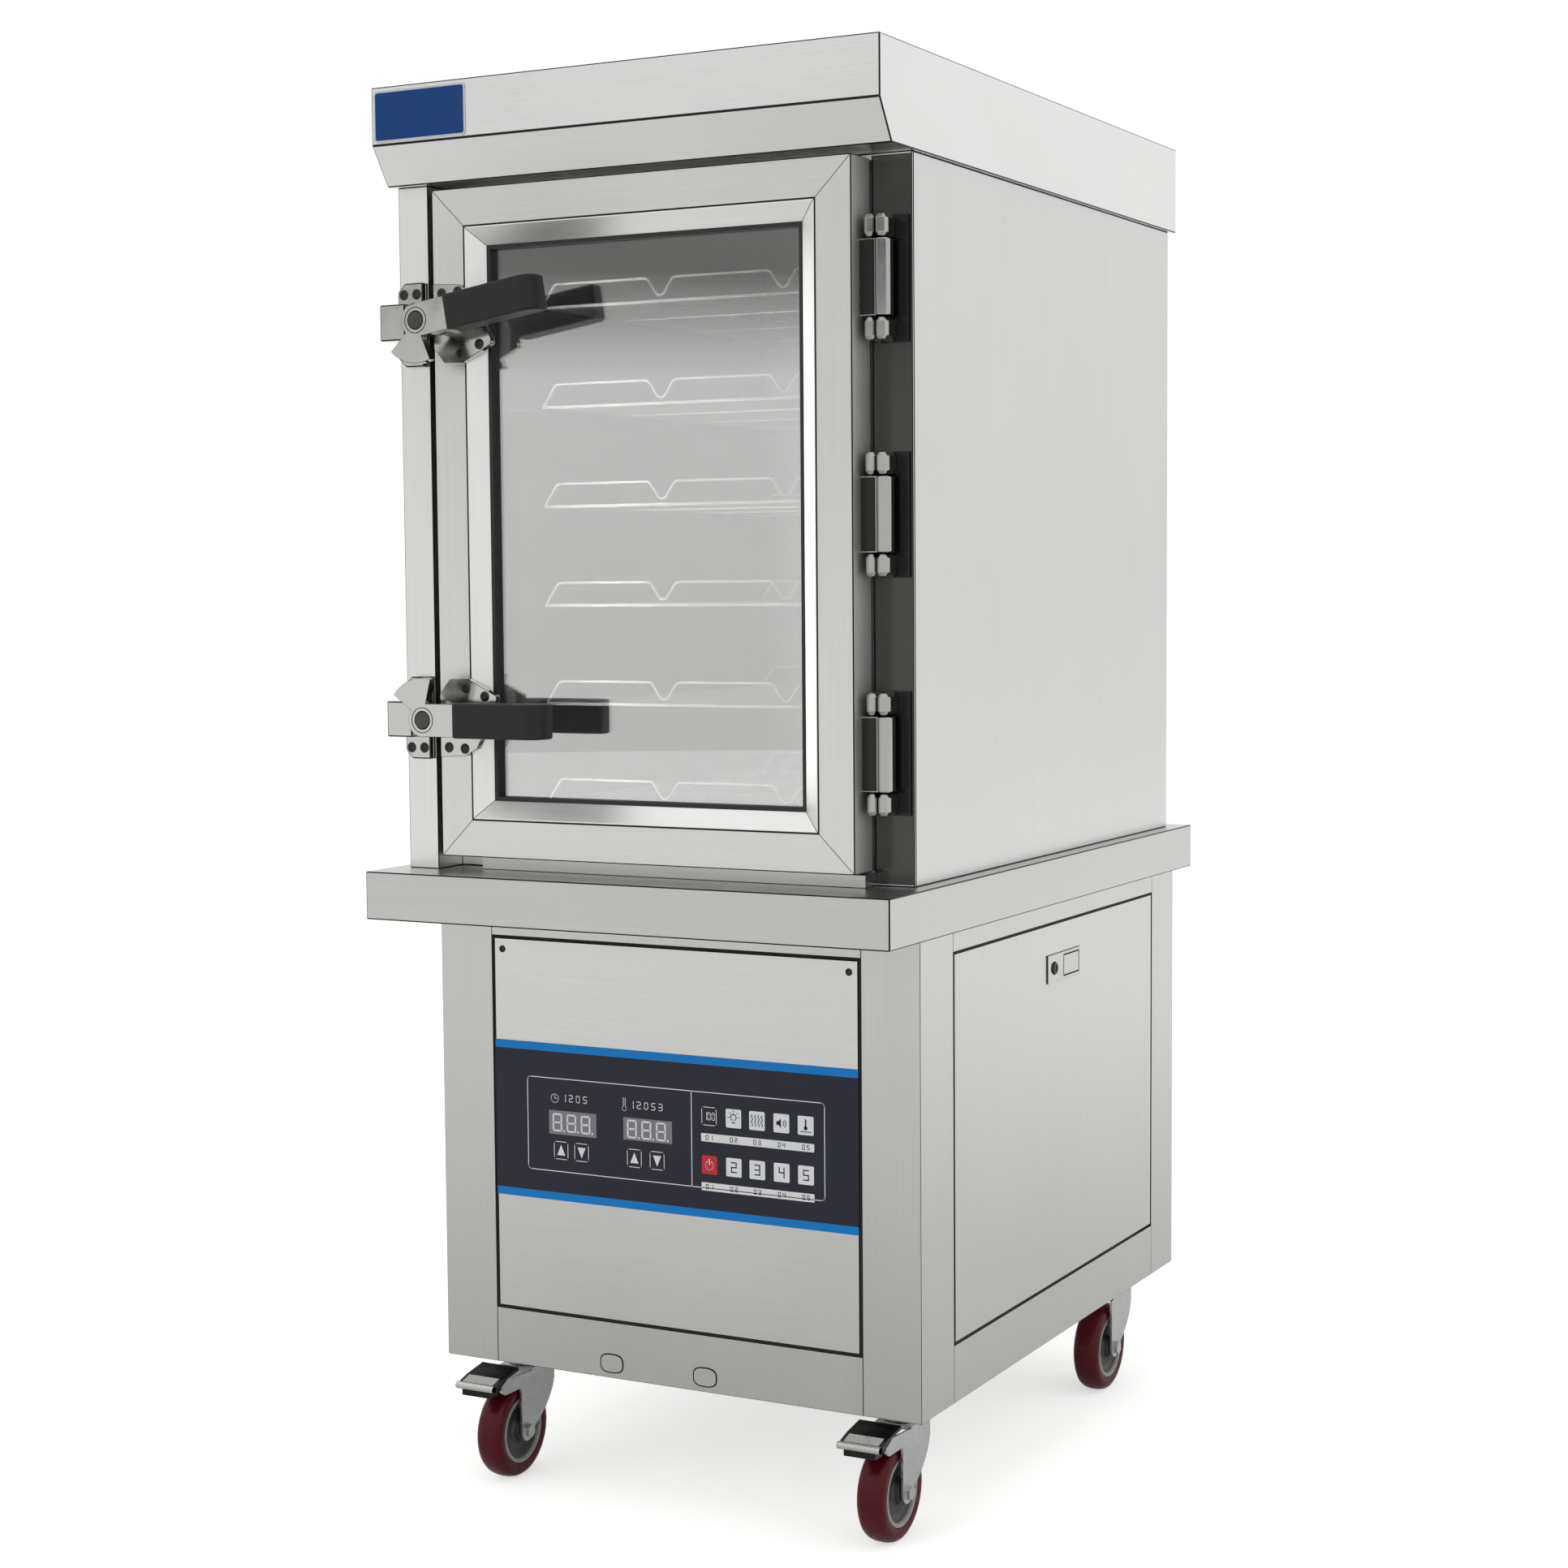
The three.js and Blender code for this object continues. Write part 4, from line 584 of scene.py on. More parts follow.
bulb_x, steam_x, sound_x, probe_x = key_columns[1:]
rays = [Vector(point) for point in arc(0, 0, 1, 0, 180, 4)]
waves = [[(-0.006 + index * 0.004 + 0.0009 * math.sin(step * math.pi / 2), -0.006 + step * 0.0015)
          for step in range(9)] for index in range(4)]
sign(dark_print, bulb_x, upper_keys, (
    (arc(0, 0.0012, 0.0034, -60, 240, 12), 0.001), ([(-0.0014, -0.0045), (0.0014, -0.0045)], 0.0012)), ink)
sign(dark_print, bulb_x, upper_keys + 0.0012, [([ray * 0.0052, ray * 0.0072], 0.0007) for ray in rays], ink)
sign(dark_print, steam_x, upper_keys, [(wave, 0.0009) for wave in waves], ink)
flat_print(dark_print, [(sound_x + x, upper_keys + z) for x, z in (
    (-0.006, -0.002), (-0.0035, -0.002), (-0.0005, -0.005), (-0.0005, 0.005), (-0.0035, 0.002),
    (-0.006, 0.002),
)], ink)
sign(dark_print, sound_x, upper_keys, (
    (arc(0, 0, 0.0032, -42, 42, 6), 0.0009), (arc(0, 0, 0.0056, -42, 42, 6), 0.0009)), ink)
sign(dark_print, probe_x, upper_keys, (
    ([(0, 0.006), (0, -0.002)], 0.0018), ([(-0.006, -0.0068), (0.006, -0.0068)], 0.0009)), ink)
patch(dark_print, probe_x, upper_keys - 0.0028, 0.0044, 0.0044, 0.0021, ink)
for x, digit in zip(key_columns[1:], "2345"):
    numeral(dark_print, digit, x, lower_keys, 0.0058, 0.0105, 0.0013, ink)
for z in caption_rows:
    for x, digit in zip(key_columns, "12345"):
        numeral(dark_print, "0", x - 0.0028, z, 0.0026, 0.0046, 0.0007, ink)
        numeral(dark_print, digit, x + 0.0028, z, 0.0026, 0.0046, 0.0007, ink)

pale_ink = finish("pale_print_ink", "#e9ebee", 0.35, **printed)
for shape, name, colour_ink in (
    (blue_print, "blue_stripes", finish("blue_stripe_ink", "#0c80d0", 0.32, **printed)),
    (pale_print, "pale_prints", pale_ink),
    (window_print, "display_windows", finish("smoked_display_window", "#84848a", 0.12, **printed)),
    (digit_print, "display_digits", finish("unlit_display_digits", "#e4e0ea", 0.3, **printed)),
    (red_print, "red_power_key", finish("red_key_ink", "#d0313c", 0.35, **printed)),
    (power_print, "power_mark", pale_ink),
    (dark_print, "dark_prints", finish("dark_print_ink", "#24242e", 0.35, **printed)),
):
    flat(shape, name, "cabinet", "film", colour_ink)


# Oval labels: two small plates of embossed steel on the bottom rail, with a dark engraved rim.
# They are stuck on, and left plain.
label_places, label_level, label_sides, label_glue = (-0.080, 0.039), 0.1625, 40, 0.0001
label_width, label_height, label_rim, label_rise = 0.030, 0.022, 0.0014, 0.0005
rail_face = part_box("base_frame")[0].y


def oval(x, width, height):
    """A flat-sided oval about a label's centre."""
    points = []
    for step in range(label_sides):
        angle = 2 * math.pi * step / label_sides
        cosine, sine = math.cos(angle), math.sin(angle)
        bend = (abs(cosine) ** 3 + abs(sine) ** 3) ** (-1 / 3)
        points.append((x + width / 2 * cosine * bend, label_level + height / 2 * sine * bend))
    return points


mark_ink = finish("engraved_label_ink", "#2b2b2b", 0.5, **blackened)
for name, slot, metal, inset, rise in (
    ("label_rims", "zinc", mark_ink, 0, label_rise),
    ("label_middles", "steel", post_steel, label_rim, label_rise * 1.2),
):
    label = bmesh.new()
    for x in label_places:
        outline = oval(x, label_width - 2 * inset, label_height - 2 * inset)
        layer(label, outline, rail_face - rise, rail_face + label_glue)
    settle(show(label, name), "cabinet", slot, metal)


# Side access panel: the same kind of tray, which tilts out on its lower edge.
# Its lock is a bright plated dish with a push button and a paddle that lifts out.
dress("side_panel", "side_access_tray", 0.0007, "access_panel", "steel",
      stainless("side", "#cbcbc9", "z"), painted_shade_edge_steel)

# Bright chromium plate: mirror-like, with a faint unevenness from polishing by hand.
polished = {"cloud": (60, 3), "relief": (700, 2, 0.03, 0.0002), "metallic": 1.0}
lock_chrome = finish("lock_chromium_plate", "#bcbcba", 0.14, 0.03, **polished)
# Painted dark reflection: a near black chromium for the rounded edges of the lock and latch castings and
# for the thin ring round each latch hub.
painted_reflection_edge_chrome = finish("chromium_with_painted_dark_edge_reflection", "#3c3c3a", 0.2, 0.03, **polished)
dress("lock_bezel", "lock_dish", 0.0006, "access_panel", "chrome", lock_chrome, painted_reflection_edge_chrome)
dress("lock_paddle", "lock_paddle_plate", 0.0009, "paddle", "chrome", lock_chrome, painted_reflection_edge_chrome)
button_low, button_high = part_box("lock_button")
button_radius = (button_high.z - button_low.z) / 2
button_length = button_high.x - button_low.x
button_shares = ((0, -0.5), (1, -0.5), (1, 0.36), (0.86, 0.47), (0.6, 0.5), (0.52, 0.3), (0, 0.26))
across = Matrix.Rotation(math.radians(90), 4, "Y")
button = bmesh.new()
turned(button, [(button_radius * a, button_length * b) for a, b in button_shares],
       Matrix.Translation((button_low + button_high) / 2) @ across, 28)
settle(show(button, "lock_push_button"), "button", "chrome",
       finish("dark_lock_button", "#4a4a4a", 0.3, **blackened), "lock_button")


# Ledge: a deep folded tray of thicker sheet that oversails the base on every side.
# A small folded channel under the door catches the drips.
ledge_steel = stainless("ledge", "#c3c3c1", "x", 0.28)
dress("ledge_tray", "ledge_with_folded_rim", 0.0014, "cabinet", "steel", ledge_steel, painted_shade_edge_steel)
dress("drip_trough", "drip_trough_channel", 0.0004, "cabinet", "steel", ledge_steel)


# Chamber: an outer casing and a front surround of stainless sheet, seam welded and ground flush.
# Inside are a lining with welded shelf runners and rigid foam between the two.
dress("body_casing", "chamber_casing", 0.0013, "cabinet", "steel",
      stainless("casing", "#d3d3d2", "z"), painted_shade_edge_steel)
dress("door_surround", "mouth_surround_and_latch_post", 0.001, "cabinet", "steel",
      stainless("surround", "#e2e2e0", "z"), painted_shade_edge_steel)
dress("chamber_liner", "chamber_lining", 0.0005, "cabinet", "steel",
      stainless("liner", "#a4a4a2", "z", 0.42))

# Rigid foam: matt and cream coloured, with open cells of about 1.5 mm where it was cut.
foam, tree, place = new_material("rigid_insulation_foam")
cells = add_node(tree, "TexVoronoi", {"Vector": place, "Scale": 650.0})
pores = add_node(tree, "Bump", {"Height": cells, "Strength": 0.5, "Distance": 0.0008})
add_node(tree, "OutputMaterial", add_node(tree, "BsdfPrincipled", {
    "Base Color": linear("#e8dcae"), "Roughness": 0.9, "Normal": pores}))
dress("insulation_jacket", "foam_jacket", 0.001, "cabinet", "foam", foam)


# Canopy: a folded hood that closes the top and slopes back above the door.
# A small blue name plate with a pale rim, left plain, is stuck to its front near the left end.
dress("canopy_shell", "canopy_hood", 0.0014, "cabinet", "steel",
      stainless("canopy", "#e4e4e3", "x", 0.27), painted_shade_edge_steel)
canopy_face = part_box("canopy_shell")[0].y
plate_left, plate_right, plate_low, plate_high, plate_corner = -0.302, -0.183, 1.5055, 1.5605, 0.004
plate_rim, plate_rise, plate_glue = 0.0022, 0.0009, 0.0001
for name, colour, inset, rise in (
    ("badge_rim", "#c9ccd2", 0.0, 1.0),
    ("badge_face", "#0c3d7c", plate_rim, 1.3),
):
    badge = bmesh.new()
    outline = round_rectangle(plate_left + inset, plate_right - inset, plate_low + inset,
                              plate_high - inset, plate_corner - inset * 0.6)
    layer(badge, outline, canopy_face - plate_rise * rise, canopy_face + plate_glue)
    settle(show(badge, name, 0.0002, 1), "cabinet", "film",
           finish(name + "_enamel", colour, 0.25, **printed))


# Door: a mitred stainless frame, a sloped glazing bead, two panes and a soft seal. Black rubber
# spaces and seals the panes and fills the line round the bead. A strip of duller steel caps the
# door's hinge edge.
door_low, door_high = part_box("door_frame")
door_middle = (door_low + door_high) / 2
door_half = (door_high - door_low) / 2
mitre_line, edge_strip, edge_margin = 0.0011, 0.00022, 0.0012
spacer_inset, spacer_width, pane_gap = 0.0005, 0.0128, 0.0001
sealant_reach, sealant_width, sealant_rise, sealant_depth = 0.0005, 0.0009, 0.0002, 0.0006
sight_inset, slope_depth, glazing_seal_width = 0.0200, 0.0135, 0.0045


def mitres(tree, place):
    """The diagonal lines on which two members meet, and 1 on the stiles and 0 on the rails."""
    parts = add_node(tree, "SeparateXYZ", place).outputs
    sides = []
    for axis, centre, half in (("X", door_middle.x, door_half.x), ("Z", door_middle.z, door_half.z)):
        offset = add_node(tree, "Math", parts[axis], centre, operation="SUBTRACT")
        away = add_node(tree, "Math", offset, operation="ABSOLUTE")
        sides.append(add_node(tree, "Math", away, half, operation="SUBTRACT"))
    from_mitre = add_node(tree, "Math", *sides, operation="SUBTRACT")
    stiles = add_node(tree, "Math", from_mitre, 0.0, operation="GREATER_THAN")
    return fine_line(tree, from_mitre, mitre_line), stiles


dress("door_frame", "mitred_door_frame", 0.0012, "door", "steel",
      stainless("door", "#d6d6d4", "xz", 0.27, mitres), painted_shade_edge_steel)
dress("door_bead", "sloped_glazing_bead", 0.0006, "door", "steel",
      stainless("bead", "#ececea", "xz", 0.36, mitres))

# Toughened glass. The outer pane has a thin reflective coat, so that it mirrors the room, and the
# inner one is tinted grey, so that the unlit chamber stays dark.
for name, mirror, colour in (("outer", 0.36, "#f6f6f6"), ("inner", 0.02, "#c0c1c0")):
    glass, tree = new_material("toughened_glass_" + name)[:2]
    pane = add_node(tree, "BsdfPrincipled", {
        "Base Color": linear(colour), "Roughness": 0.0, "IOR": 1.5, "Transmission Weight": 1.0})
    coat = add_node(tree, "BsdfGlossy", {"Color": linear("#f4f5f4"), "Roughness": 0.0})
    coated = add_node(tree, "MixShader", mirror, pane, coat)
    tint = add_node(tree, "BsdfTransparent", linear("#e2e3e2"))
    lamp_rays = add_node(tree, "LightPath").outputs["Is Shadow Ray"]
    add_node(tree, "OutputMaterial", add_node(tree, "MixShader", lamp_rays, coated, tint))
    dress("door_glass_" + name, "pane_" + name, 0.0004, "door", "glass", glass)

seal_rubber = finish("moulded_silicone_seal", "#1a1a1a", 0.6, **rubbery)
dress("door_gasket", "door_seal", 0.0008, "door", "rubber", seal_rubber)


def ring(name, low, high, inset, width, y0, y1):
    """A flat four-sided frame of rubber, set in by inset from the box between two corners."""
    loops = []
    for step, y in ((0, y0), (0, y1), (width, y1), (width, y0)):
        x0, x1, z0, z1 = (low.x + inset + step, high.x - inset - step,
                          low.z + inset + step, high.z - inset - step)
        loops.append([(x0, y, z0), (x1, y, z0), (x1, y, z1), (x0, y, z1)])
    shape = bmesh.new()
    loft(shape, loops, closed=True)
    flat(shape, name, "door", "rubber", seal_rubber)


inner_low, inner_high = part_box("door_glass_inner")
outer_low, outer_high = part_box("door_glass_outer")
bead_low, bead_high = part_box("door_bead")
ring("pane_spacer", inner_low, inner_high, spacer_inset, spacer_width,
     outer_high.y + pane_gap, inner_low.y - pane_gap)
ring("bead_sealant_line", bead_low, bead_high, -sealant_reach, sealant_width,
     door_low.y - sealant_rise, door_low.y + sealant_depth)
ring("glazing_seal", bead_low, bead_high, sight_inset, glazing_seal_width,
     bead_low.y + slope_depth, outer_low.y - pane_gap)
strip = bmesh.new()
slab(strip, door_high.x - edge_strip, door_high.x + edge_strip, door_low.y + edge_margin,
     door_high.y - edge_margin, door_low.z + edge_margin, door_high.z - edge_margin)
flat(strip, "door_edge_strip", "door", "steel", stainless("door_edge", "#dededc", "z", 0.5))


# Door hinges: cast and chromium plated, with paired domed knuckles on the chamber's bracket.
# The door's block is a bright bar with a flat leaf beside it. The leaf and the bracket's back plate are
# painted dark, as painted dark reflection in their chromium. A strip of dark polished steel on the
# chamber's front behind the hinges is painted shade and dark reflection.
hinge_chrome = finish("hinge_chromium_plate", "#acacaa", 0.1, 0.03, **polished)
# Painted dark reflection: the hinges' back plates and the door-side leaves are chromium plated, and this
# dark colour stands for what they mirror.
hinge_painted_dark_reflection = finish("hinge_chromium_painted_dark_reflection", "#2c2c2b", 0.2, **blackened)
hinge_knuckle, hinge_dome, knuckle_half, knuckle_groove = 0.025, 0.0052, 0.0125, 0.0004
knuckle_corner, knuckle_rear, hinge_edge = 0.0055, 0.002, 0.0006
hinge_plate_thickness, hinge_axis_from_block, hinge_gap = 0.0035, 0.014, 0.0003
bar_corner, bar_dome, bar_set_back, bar_depth, bar_side = 0.0074, 0.001, 0.0014, 0.011, 0.001
core_set_back, core_depth, core_side = 0.0056, 0.009, 0.004
leaf_front, leaf_back, leaf_left, leaf_right, leaf_end = 0.0040, 0.0060, 0.0008, 0.0016, 0.001
strip_side, strip_end, strip_front, strip_back = 0.0006, 0.002, 0.00025, 0.0001
surround_low, surround_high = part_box("door_surround")
surround_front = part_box("hinge_bracket_top")[1].y + hinge_gap


def round_bar(shape, x0, x1, y0, y1, z0, z1, corner, dome):
    """A bar that stands upright, with round corners and domed ends."""
    loops = []
    for z, inset in ((z0, dome), (z0 + dome * 0.3, dome * 0.45), (z0 + dome, 0),
                     (z1 - dome, 0), (z1 - dome * 0.3, dome * 0.45), (z1, dome)):
        outline = round_rectangle(
            x0 + inset, x1 - inset, y0 + inset, y1 - inset, max(corner - inset, 0.0003))
        loops.append([(x, y, z) for x, y in outline])
    loft(shape, loops)


# Painted shade: a thin dark steel strip laid on the chamber's front behind the hinges, where the front lies
# in shade and mirrors dark.
hinge_side = bmesh.new()
slab(hinge_side, door_high.x + strip_side, surround_high.x - strip_side, surround_front - strip_front,
     surround_front + strip_back, surround_low.z + strip_end, surround_high.z - strip_end)
flat(hinge_side, "hinge_side_strip", "cabinet", "steel",
     finish("painted_shade_and_reflection_strip", "#4a4a48", 0.16, **blackened))

for level in ("top", "middle", "bottom"):
    low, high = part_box("hinge_bracket_" + level)
    block_low, block_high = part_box("hinge_block_" + level)
    axis_x = block_high.x - hinge_axis_from_block
    axis_y = block_low.y + hinge_axis_from_block
    plate, bracket, bar, leaf = bmesh.new(), bmesh.new(), bmesh.new(), bmesh.new()
    slab(plate, low.x, high.x, high.y - hinge_plate_thickness, high.y, low.z, high.z)
    settle(show(plate, "hinge_plate_" + level, hinge_edge), "cabinet", "chrome", hinge_painted_dark_reflection)
    for z in (low.z, high.z - hinge_knuckle):
        for x0, x1 in ((-knuckle_half, -knuckle_groove), (knuckle_groove, knuckle_half)):
            round_bar(bracket, axis_x + x0, axis_x + x1, low.y, high.y - knuckle_rear,
                      z, z + hinge_knuckle, knuckle_corner, hinge_dome)
    settle(show(bracket, "hinge_knuckles_" + level, hinge_edge), "cabinet", "chrome", hinge_chrome,
           "hinge_bracket_" + level)
    round_bar(bar, axis_x - bar_side, block_high.x, block_low.y + bar_set_back, axis_y + bar_depth,
              block_low.z, block_high.z, bar_corner, bar_dome)
    slab(bar, block_low.x, axis_x + core_side, block_low.y + core_set_back, axis_y + core_depth,
         block_low.z, block_high.z)
    settle(show(bar, "hinge_block_bar_" + level, hinge_edge), "door", "chrome", hinge_chrome,
           "hinge_block_" + level)
    slab(leaf, block_low.x + leaf_left, axis_x - leaf_right, block_low.y + leaf_front,
         block_low.y + leaf_back, block_low.z + leaf_end, block_high.z - leaf_end)
    settle(show(leaf, "hinge_block_leaf_" + level, 0.0005), "door", "chrome", hinge_painted_dark_reflection)


# Latches: die-cast and chromium plated. A keeper stands on the post, and on the door a plate
# carries the lever. Black screws hold them, and a round steel pin shows in the lever's hub.
latch_chrome = finish("latch_satin_chromium", "#c9c9c6", 0.15, 0.05, **polished)
pin_steel = finish("dark_pin_steel", "#4c4c4d", 0.3, **blackened)
keeper_screws = ((-0.047, 0.033), (-0.030, 0.033), (-0.047, -0.033), (-0.030, -0.033))
plate_screws = ((0.003, 0.032), (0.024, 0.033), (0.026, -0.034), (0.051, -0.0245))
latch_plate_thickness, latch_screw_sizes = 0.0083, (0.0058, 0.001, 0.55)
pin_radius, pin_rise, pin_sunk, pin_edge, pin_from_mount = 0.0093, 0.0008, 0.0012, 0.0006, 0.0125
hub_radius, hub_line, hub_sunk, hub_rise = 0.0132, 0.0009, 0.0005, 0.0002

# Glass-filled nylon: near black and satin, with a moulded grain of about 0.8 mm.
grip_plastic = finish("grained_black_nylon", "#181818", 0.44, 0.06, (1250, 2),
                      (1250, 2, 0.35, 0.0004), gloss=0.35)
for level, upside in (("upper", 1), ("lower", -1)):
    lever_body = level + "_latch"
    for part, body, edge in (
        ("keeper", "cabinet", 0.0016), ("mount", "door", 0.0012), ("lever", lever_body, 0.0014),
    ):
        dress(f"latch_{part}_{level}", f"latch_{part}_casting_{level}", edge, body, "chrome",
              latch_chrome, painted_reflection_edge_chrome, 3)
    dress("latch_grip_" + level, "latch_grip_moulding_" + level, 0.003, lever_body, "grip",
          grip_plastic, segments=3)
    pin_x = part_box("latch_mount_" + level)[0].x + pin_from_mount
    pin_z = sum(corner.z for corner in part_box("latch_keeper_" + level)) / 2
    pin_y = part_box("latch_lever_" + level)[0].y
    screw_y = door_low.y - latch_plate_thickness
    out_of_hub = Matrix.Translation((pin_x, pin_y, pin_z)) @ Matrix.Rotation(math.radians(90), 4, "X")
    # The thin ring round the hub is painted dark reflection, in the dark edge chromium.
    hub, pin = bmesh.new(), bmesh.new()
    hub_outer = hub_radius + hub_line
    turned(hub, [(hub_radius, -hub_sunk), (hub_outer, -hub_sunk), (hub_outer, hub_rise),
                 (hub_radius, hub_rise)], out_of_hub, 40)
    settle(show(hub, "latch_hub_line_" + level), lever_body, "chrome", painted_reflection_edge_chrome)
    for name, places, body in (("keeper", keeper_screws, "cabinet"), ("plate", plate_screws, "door")):
        spots = [(pin_x + x, screw_y, pin_z + upside * z) for x, z in places]
        screws(f"latch_{name}_screws_{level}", spots, *latch_screw_sizes, body, "chrome")
    turned(pin, [(0, -pin_sunk), (pin_radius, -pin_sunk), (pin_radius, 0),
                 (pin_radius - pin_edge, pin_rise), (0, pin_rise)], out_of_hub, 36)
    settle(show(pin, "latch_pin_face_" + level), "door", "chrome", pin_steel)


# Shelves: six loose grids of bright steel wire on welded runners. A rim wire runs all round, fine
# wires lie front to back, and a raised wire with three humps stands along the front and the rear.
rim_wire, hump_wire, fine_wire, fine_rise, hump_foot = 0.0019, 0.0015, 0.0008, 0.0008, 0.001
fine_wire_count, hump_count, hump_run, hump_bend = 36, 3, 0.017, 0.007

# Nickel plated wire: pale and dull, so that it catches light from every side.
shelf_wire = finish("dull_nickel_plated_wire", "#f4f4f2", 0.36, 0.06, (500, 2), metallic=0.5)
wire_tree, wire_keys, sockets = open_tree("drawn_wire", {
    "Lines": "NodeSocketGeometry", "Wire Radius": "NodeSocketFloat", "Bend Radius": "NodeSocketFloat"})
lines = add_node(wire_tree, "MeshToCurve", {"Mesh": sockets["Lines"]})
bends = add_node(wire_tree, "FilletCurve", {
    "Curve": lines, "Radius": sockets["Bend Radius"], "Limit Radius": True, "Count": 5}, mode="POLY")
section = add_node(wire_tree, "CurvePrimitiveCircle", {
    "Resolution": 8, "Radius": sockets["Wire Radius"]})
wire = add_node(wire_tree, "CurveToMesh", {
    "Curve": bends, "Profile Curve": section, "Fill Caps": True})
close_tree(wire_tree, add_node(wire_tree, "SetShadeSmooth", wire), shelf_wire)

for number in range(1, 7):
    node = f"wire_shelf_{number}"
    low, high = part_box(node)
    level = low.z + rim_wire
    left, right, near, far = low.x + rim_wire, high.x - rim_wire, low.y + rim_wire, high.y - rim_wire
    rim_lines = [[(left, y, level), (right, y, level)] for y in (near, far)]
    rim_lines += [[(x, near, level), (x, far, level)] for x in (left, right)]
    columns = [left + (right - left) * step / fine_wire_count for step in range(1, fine_wire_count)]
    fine_lines = [[(x, y, level + fine_rise) for y in (near, far)] for x in columns]
    rows = [near + (far - near) * share for share in (1 / 3, 2 / 3)]
    fine_lines += [[(x, y, level - fine_rise) for x in (left, right)] for y in rows]
    hump_lines = []
    pitch = (right - left) / hump_count
    for y in (near, far):
        path = [(left, y, level + hump_foot)]
        for step in range(hump_count):
            start = left + pitch * step
            path += [(start + hump_run, y, high.z - hump_wire),
                     (start + pitch - hump_run, y, high.z - hump_wire)]
            path.append((start + pitch, y, level + hump_foot))
        hump_lines.append(path)
    grid = bmesh.new()
    for drawn, radius, bend in (
        (rim_lines, rim_wire, 0.0), (fine_lines, fine_wire, 0.0), (hump_lines, hump_wire, hump_bend),
    ):
        sizes = {"Wire Radius": radius, "Bend Radius": bend}
        grid.from_mesh(grown(wire_tree, wire_keys, sizes, *drawn))
    settle(show(grid, f"shelf_grid_{number}"), f"shelf_{number}", "chrome", shelf_wire, node)


# Casters: pressed and zinc plated plates and forks, and polyurethane treads on grey cores.
# The front two have a brake: a dark pressed pedal with a ribbed step and a rolled front edge.
tread_shares = ((0.70, 0.42), (0.715, 0.455), (0.80, 0.485), (0.87, 0.465), (0.935, 0.40),
                (0.975, 0.30), (0.995, 0.16), (1.0, 0.0))
rim_shares = ((0.60, 0.30), (0.605, 0.40), (0.62, 0.44), (0.655, 0.455), (0.69, 0.45), (0.70, 0.41),
              (0.75, 0.40))
hub_shares = ((0.098, 0.50), (0.20, 0.50), (0.235, 0.47), (0.25, 0.34), (0.30, 0.27), (0.44, 0.25),
              (0.50, 0.30), (0.53, 0.34), (0.61, 0.35))
pedal_bar_radius, pedal_bar_level, pedal_bar_skin = 0.0040, 0.122, 0.0001
pedal_bar_edge, pedal_bar_round = 0.0006, 0.0005
step_half, step_start, step_length, step_ribs, step_slope = 0.0205, 0.0058, 0.0115, 5, math.radians(16.2)
step_margin, step_low, step_high = 0.0015, -0.0006, 0.0002
rib_half, rib_low, rib_high = 0.0009, -0.0004, 0.0008
pedal_plate_rise = 0.0022

# Bright zinc plate: pale and slightly clouded, with soft crystals a few millimetres across.
plated = finish("bright_zinc_plate", "#c6c8c8", 0.31, 0.07, (180, 4), shade=(0.95, 1.03), metallic=1.0)
# Cast polyurethane: deep maroon, with a soft shine that light wear breaks up.
tread_colour = finish("maroon_polyurethane", "#560f1c", 0.27, 0.07, (120, 4), gloss=0.2)
# Moulded nylon: satin, with a faint texture from the mould.
moulded = {"haze": 0.06, "cloud": (500, 2)}
core_colour = finish("dark_grey_nylon_core", "#3e3f3d", 0.46, **moulded)
rim_colour = finish("pale_grey_nylon_rim", "#9fa19e", 0.46, **moulded)
pedal_black = finish("black_lacquered_steel", "#2a2a2a", 0.22, **blackened)
for corner in ("front_left", "front_right", "rear_left", "rear_right"):
    fork, plate, wheel = "caster_fork_" + corner, "caster_plate_" + corner, "caster_wheel_" + corner
    low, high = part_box(wheel)
    radius, width = (high.z - low.z) / 2, high.x - low.x
    for name, shares, slot, colour, nodes in (
        ("tread_", tread_shares, "tyre", tread_colour, (wheel,)),
        ("hub_", hub_shares, "plastic", core_colour, ()),
        ("hub_rim_", rim_shares, "plastic", rim_colour, ()),
    ):
        half = [(radius * a, width * b) for a, b in shares]
        shape = bmesh.new()
        turned(shape, half + [(r, -x) for r, x in half[::-1] if x],
               Matrix.Translation((low + high) / 2) @ across, 72)
        settle(show(shape, name + corner), "wheel_" + corner, slot, colour, *nodes)
    dress(fork, "fork_" + corner, 0.0007, "fork_" + corner, "zinc", plated)
    dress(plate, "top_plate_" + corner, 0.0006, "cabinet", "zinc", plated)

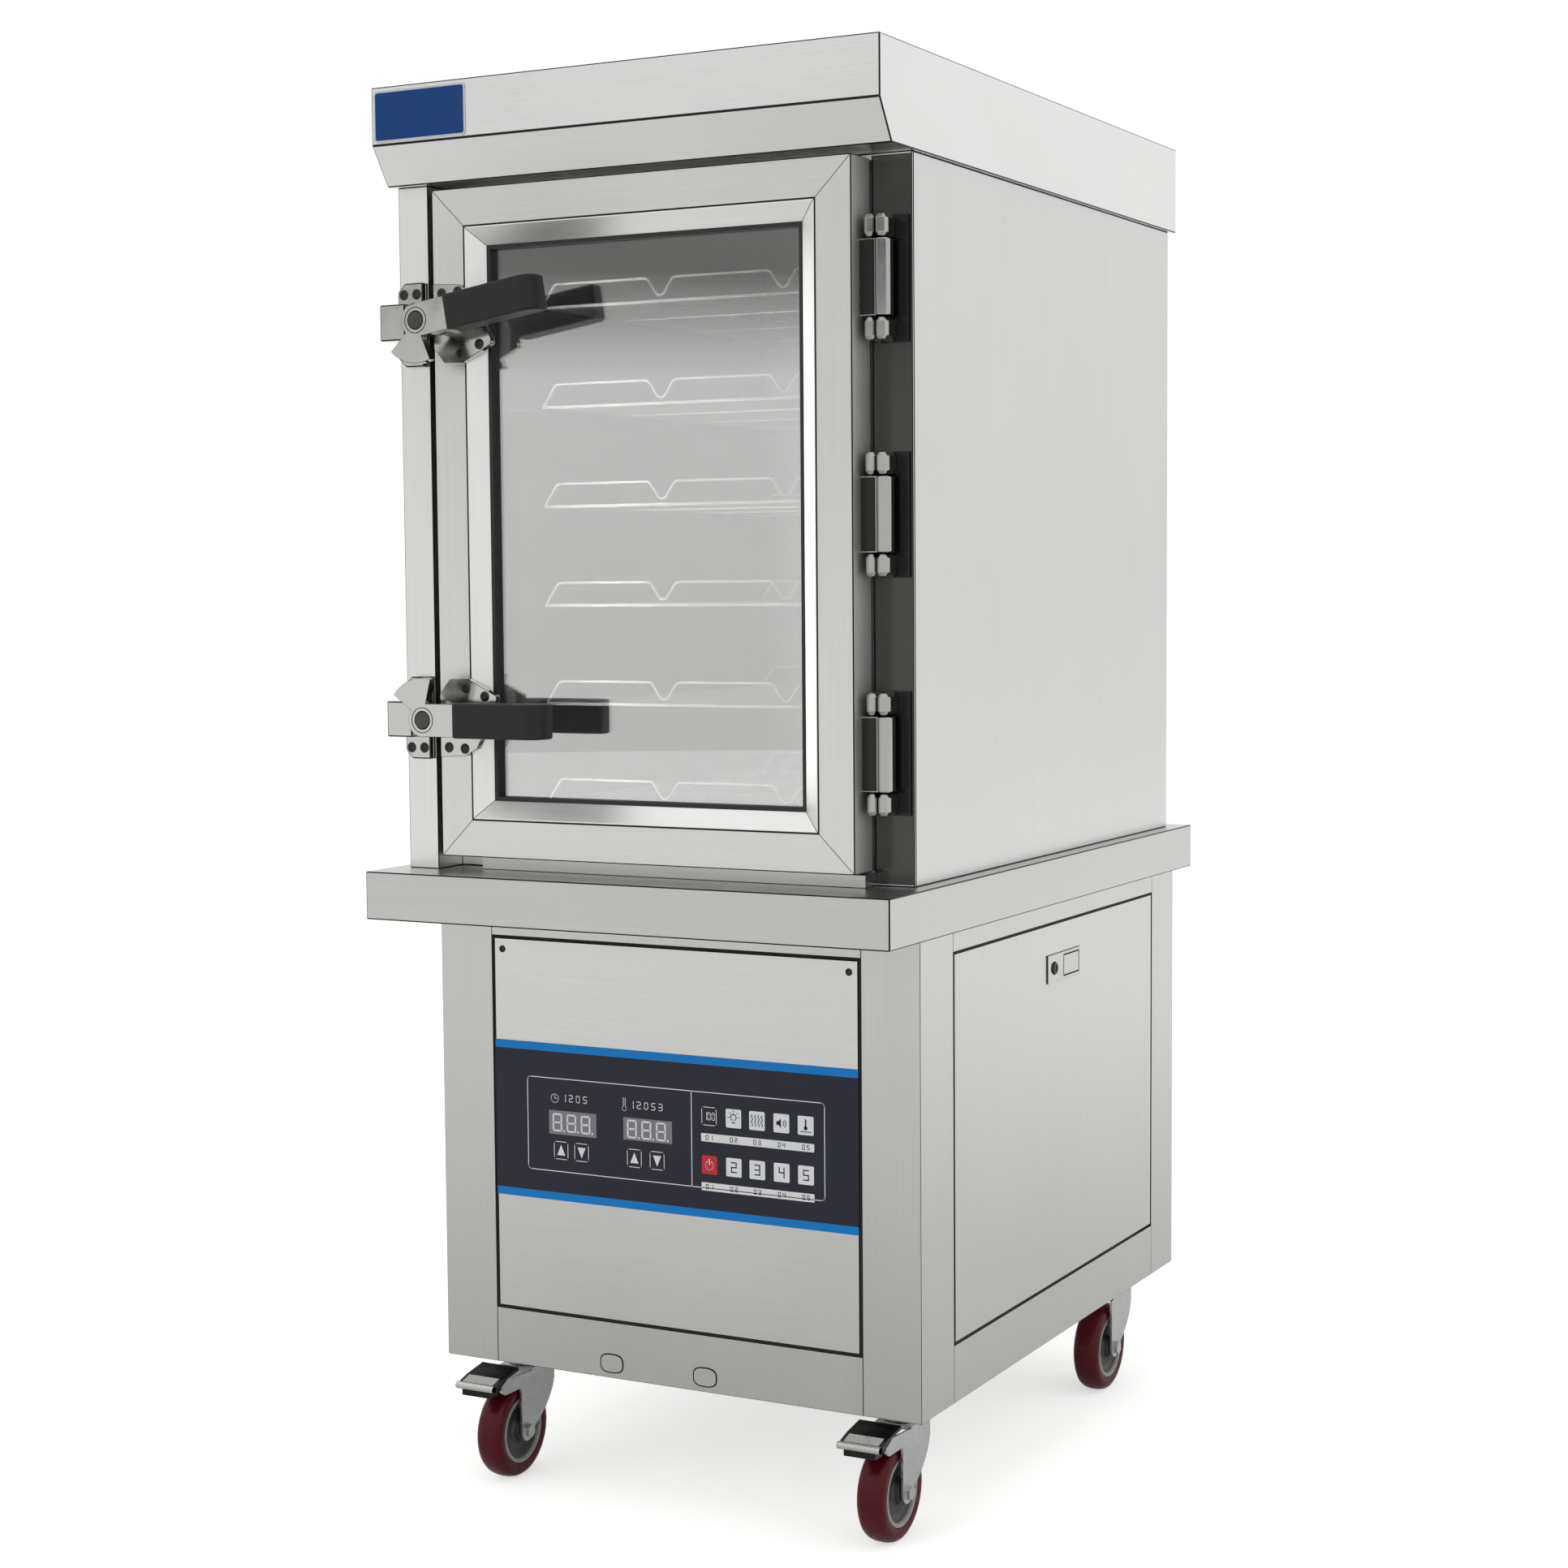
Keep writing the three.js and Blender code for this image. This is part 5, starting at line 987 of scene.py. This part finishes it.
for side in ("left", "right"):
    node, body = "brake_pedal_front_" + side, "pedal_front_" + side
    low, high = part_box(node)
    dress(node, "brake_plate_" + side, 0.0008, body, "zinc", pedal_black)
    bar, step = bmesh.new(), bmesh.new()
    bar_radius = pedal_bar_radius + pedal_bar_skin
    bar_end = pedal_bar_radius - pedal_bar_round
    turned(bar, [
        (0, low.x), (bar_end, low.x), (bar_radius, low.x + pedal_bar_edge),
        (bar_radius, high.x - pedal_bar_edge), (bar_end, high.x), (0, high.x),
    ], Matrix.Translation((0, low.y + bar_radius, pedal_bar_level)) @ across)
    settle(show(bar, "brake_rolled_edge_" + side), body, "chrome", latch_chrome)
    middle = (low.x + high.x) / 2
    for rib in range(step_ribs):
        y = step_start + step_length * rib / (step_ribs - 1)
        slab(step, middle - step_half, middle + step_half, y - rib_half, y + rib_half, rib_low, rib_high)
    slab(step, middle - step_half, middle + step_half, step_start - step_margin,
         step_start + step_length + step_margin, step_low, step_high)
    on_plate = Matrix.Translation((0, low.y + pedal_bar_radius, pedal_bar_level + pedal_plate_rise))
    bmesh.ops.transform(step, matrix=on_plate @ Matrix.Rotation(step_slope, 4, "X"), verts=step.verts)
    settle(show(step, "brake_ribbed_step_" + side, 0.0003, 1), body, "chrome", latch_chrome)


# Boiler group inside the base: a welded tank on legs, a heating element, two pipes and a float.
# The control box beside it is moulded plastic. None of it shows from outside.
dress("boiler_tank", "boiler_tank_shell", 0.0008, "cabinet", "steel",
      stainless("tank", "#c2c2c0", "x", 0.36))
tube_metal = finish("brass_and_copper_tube", "#c08a62", 0.3, 0.05, **polished)
for node, name in (
    ("heating_element", "heating_element_tube"), ("water_inlet_pipe", "inlet_pipe"),
    ("drain_pipe", "drain_elbow_pipe"),
):
    dress(node, name, 0.0004, "cabinet", "pipe", tube_metal)
dress("float_arm", "float_ball_and_arm", 0.0004, "float", "plastic",
      finish("white_float_plastic", "#dcdddd", 0.46, **moulded))
dress("control_box", "control_box_shell", 0.0006, "cabinet", "plastic",
      finish("grey_control_box_plastic", "#b9bbbc", 0.46, **moulded))
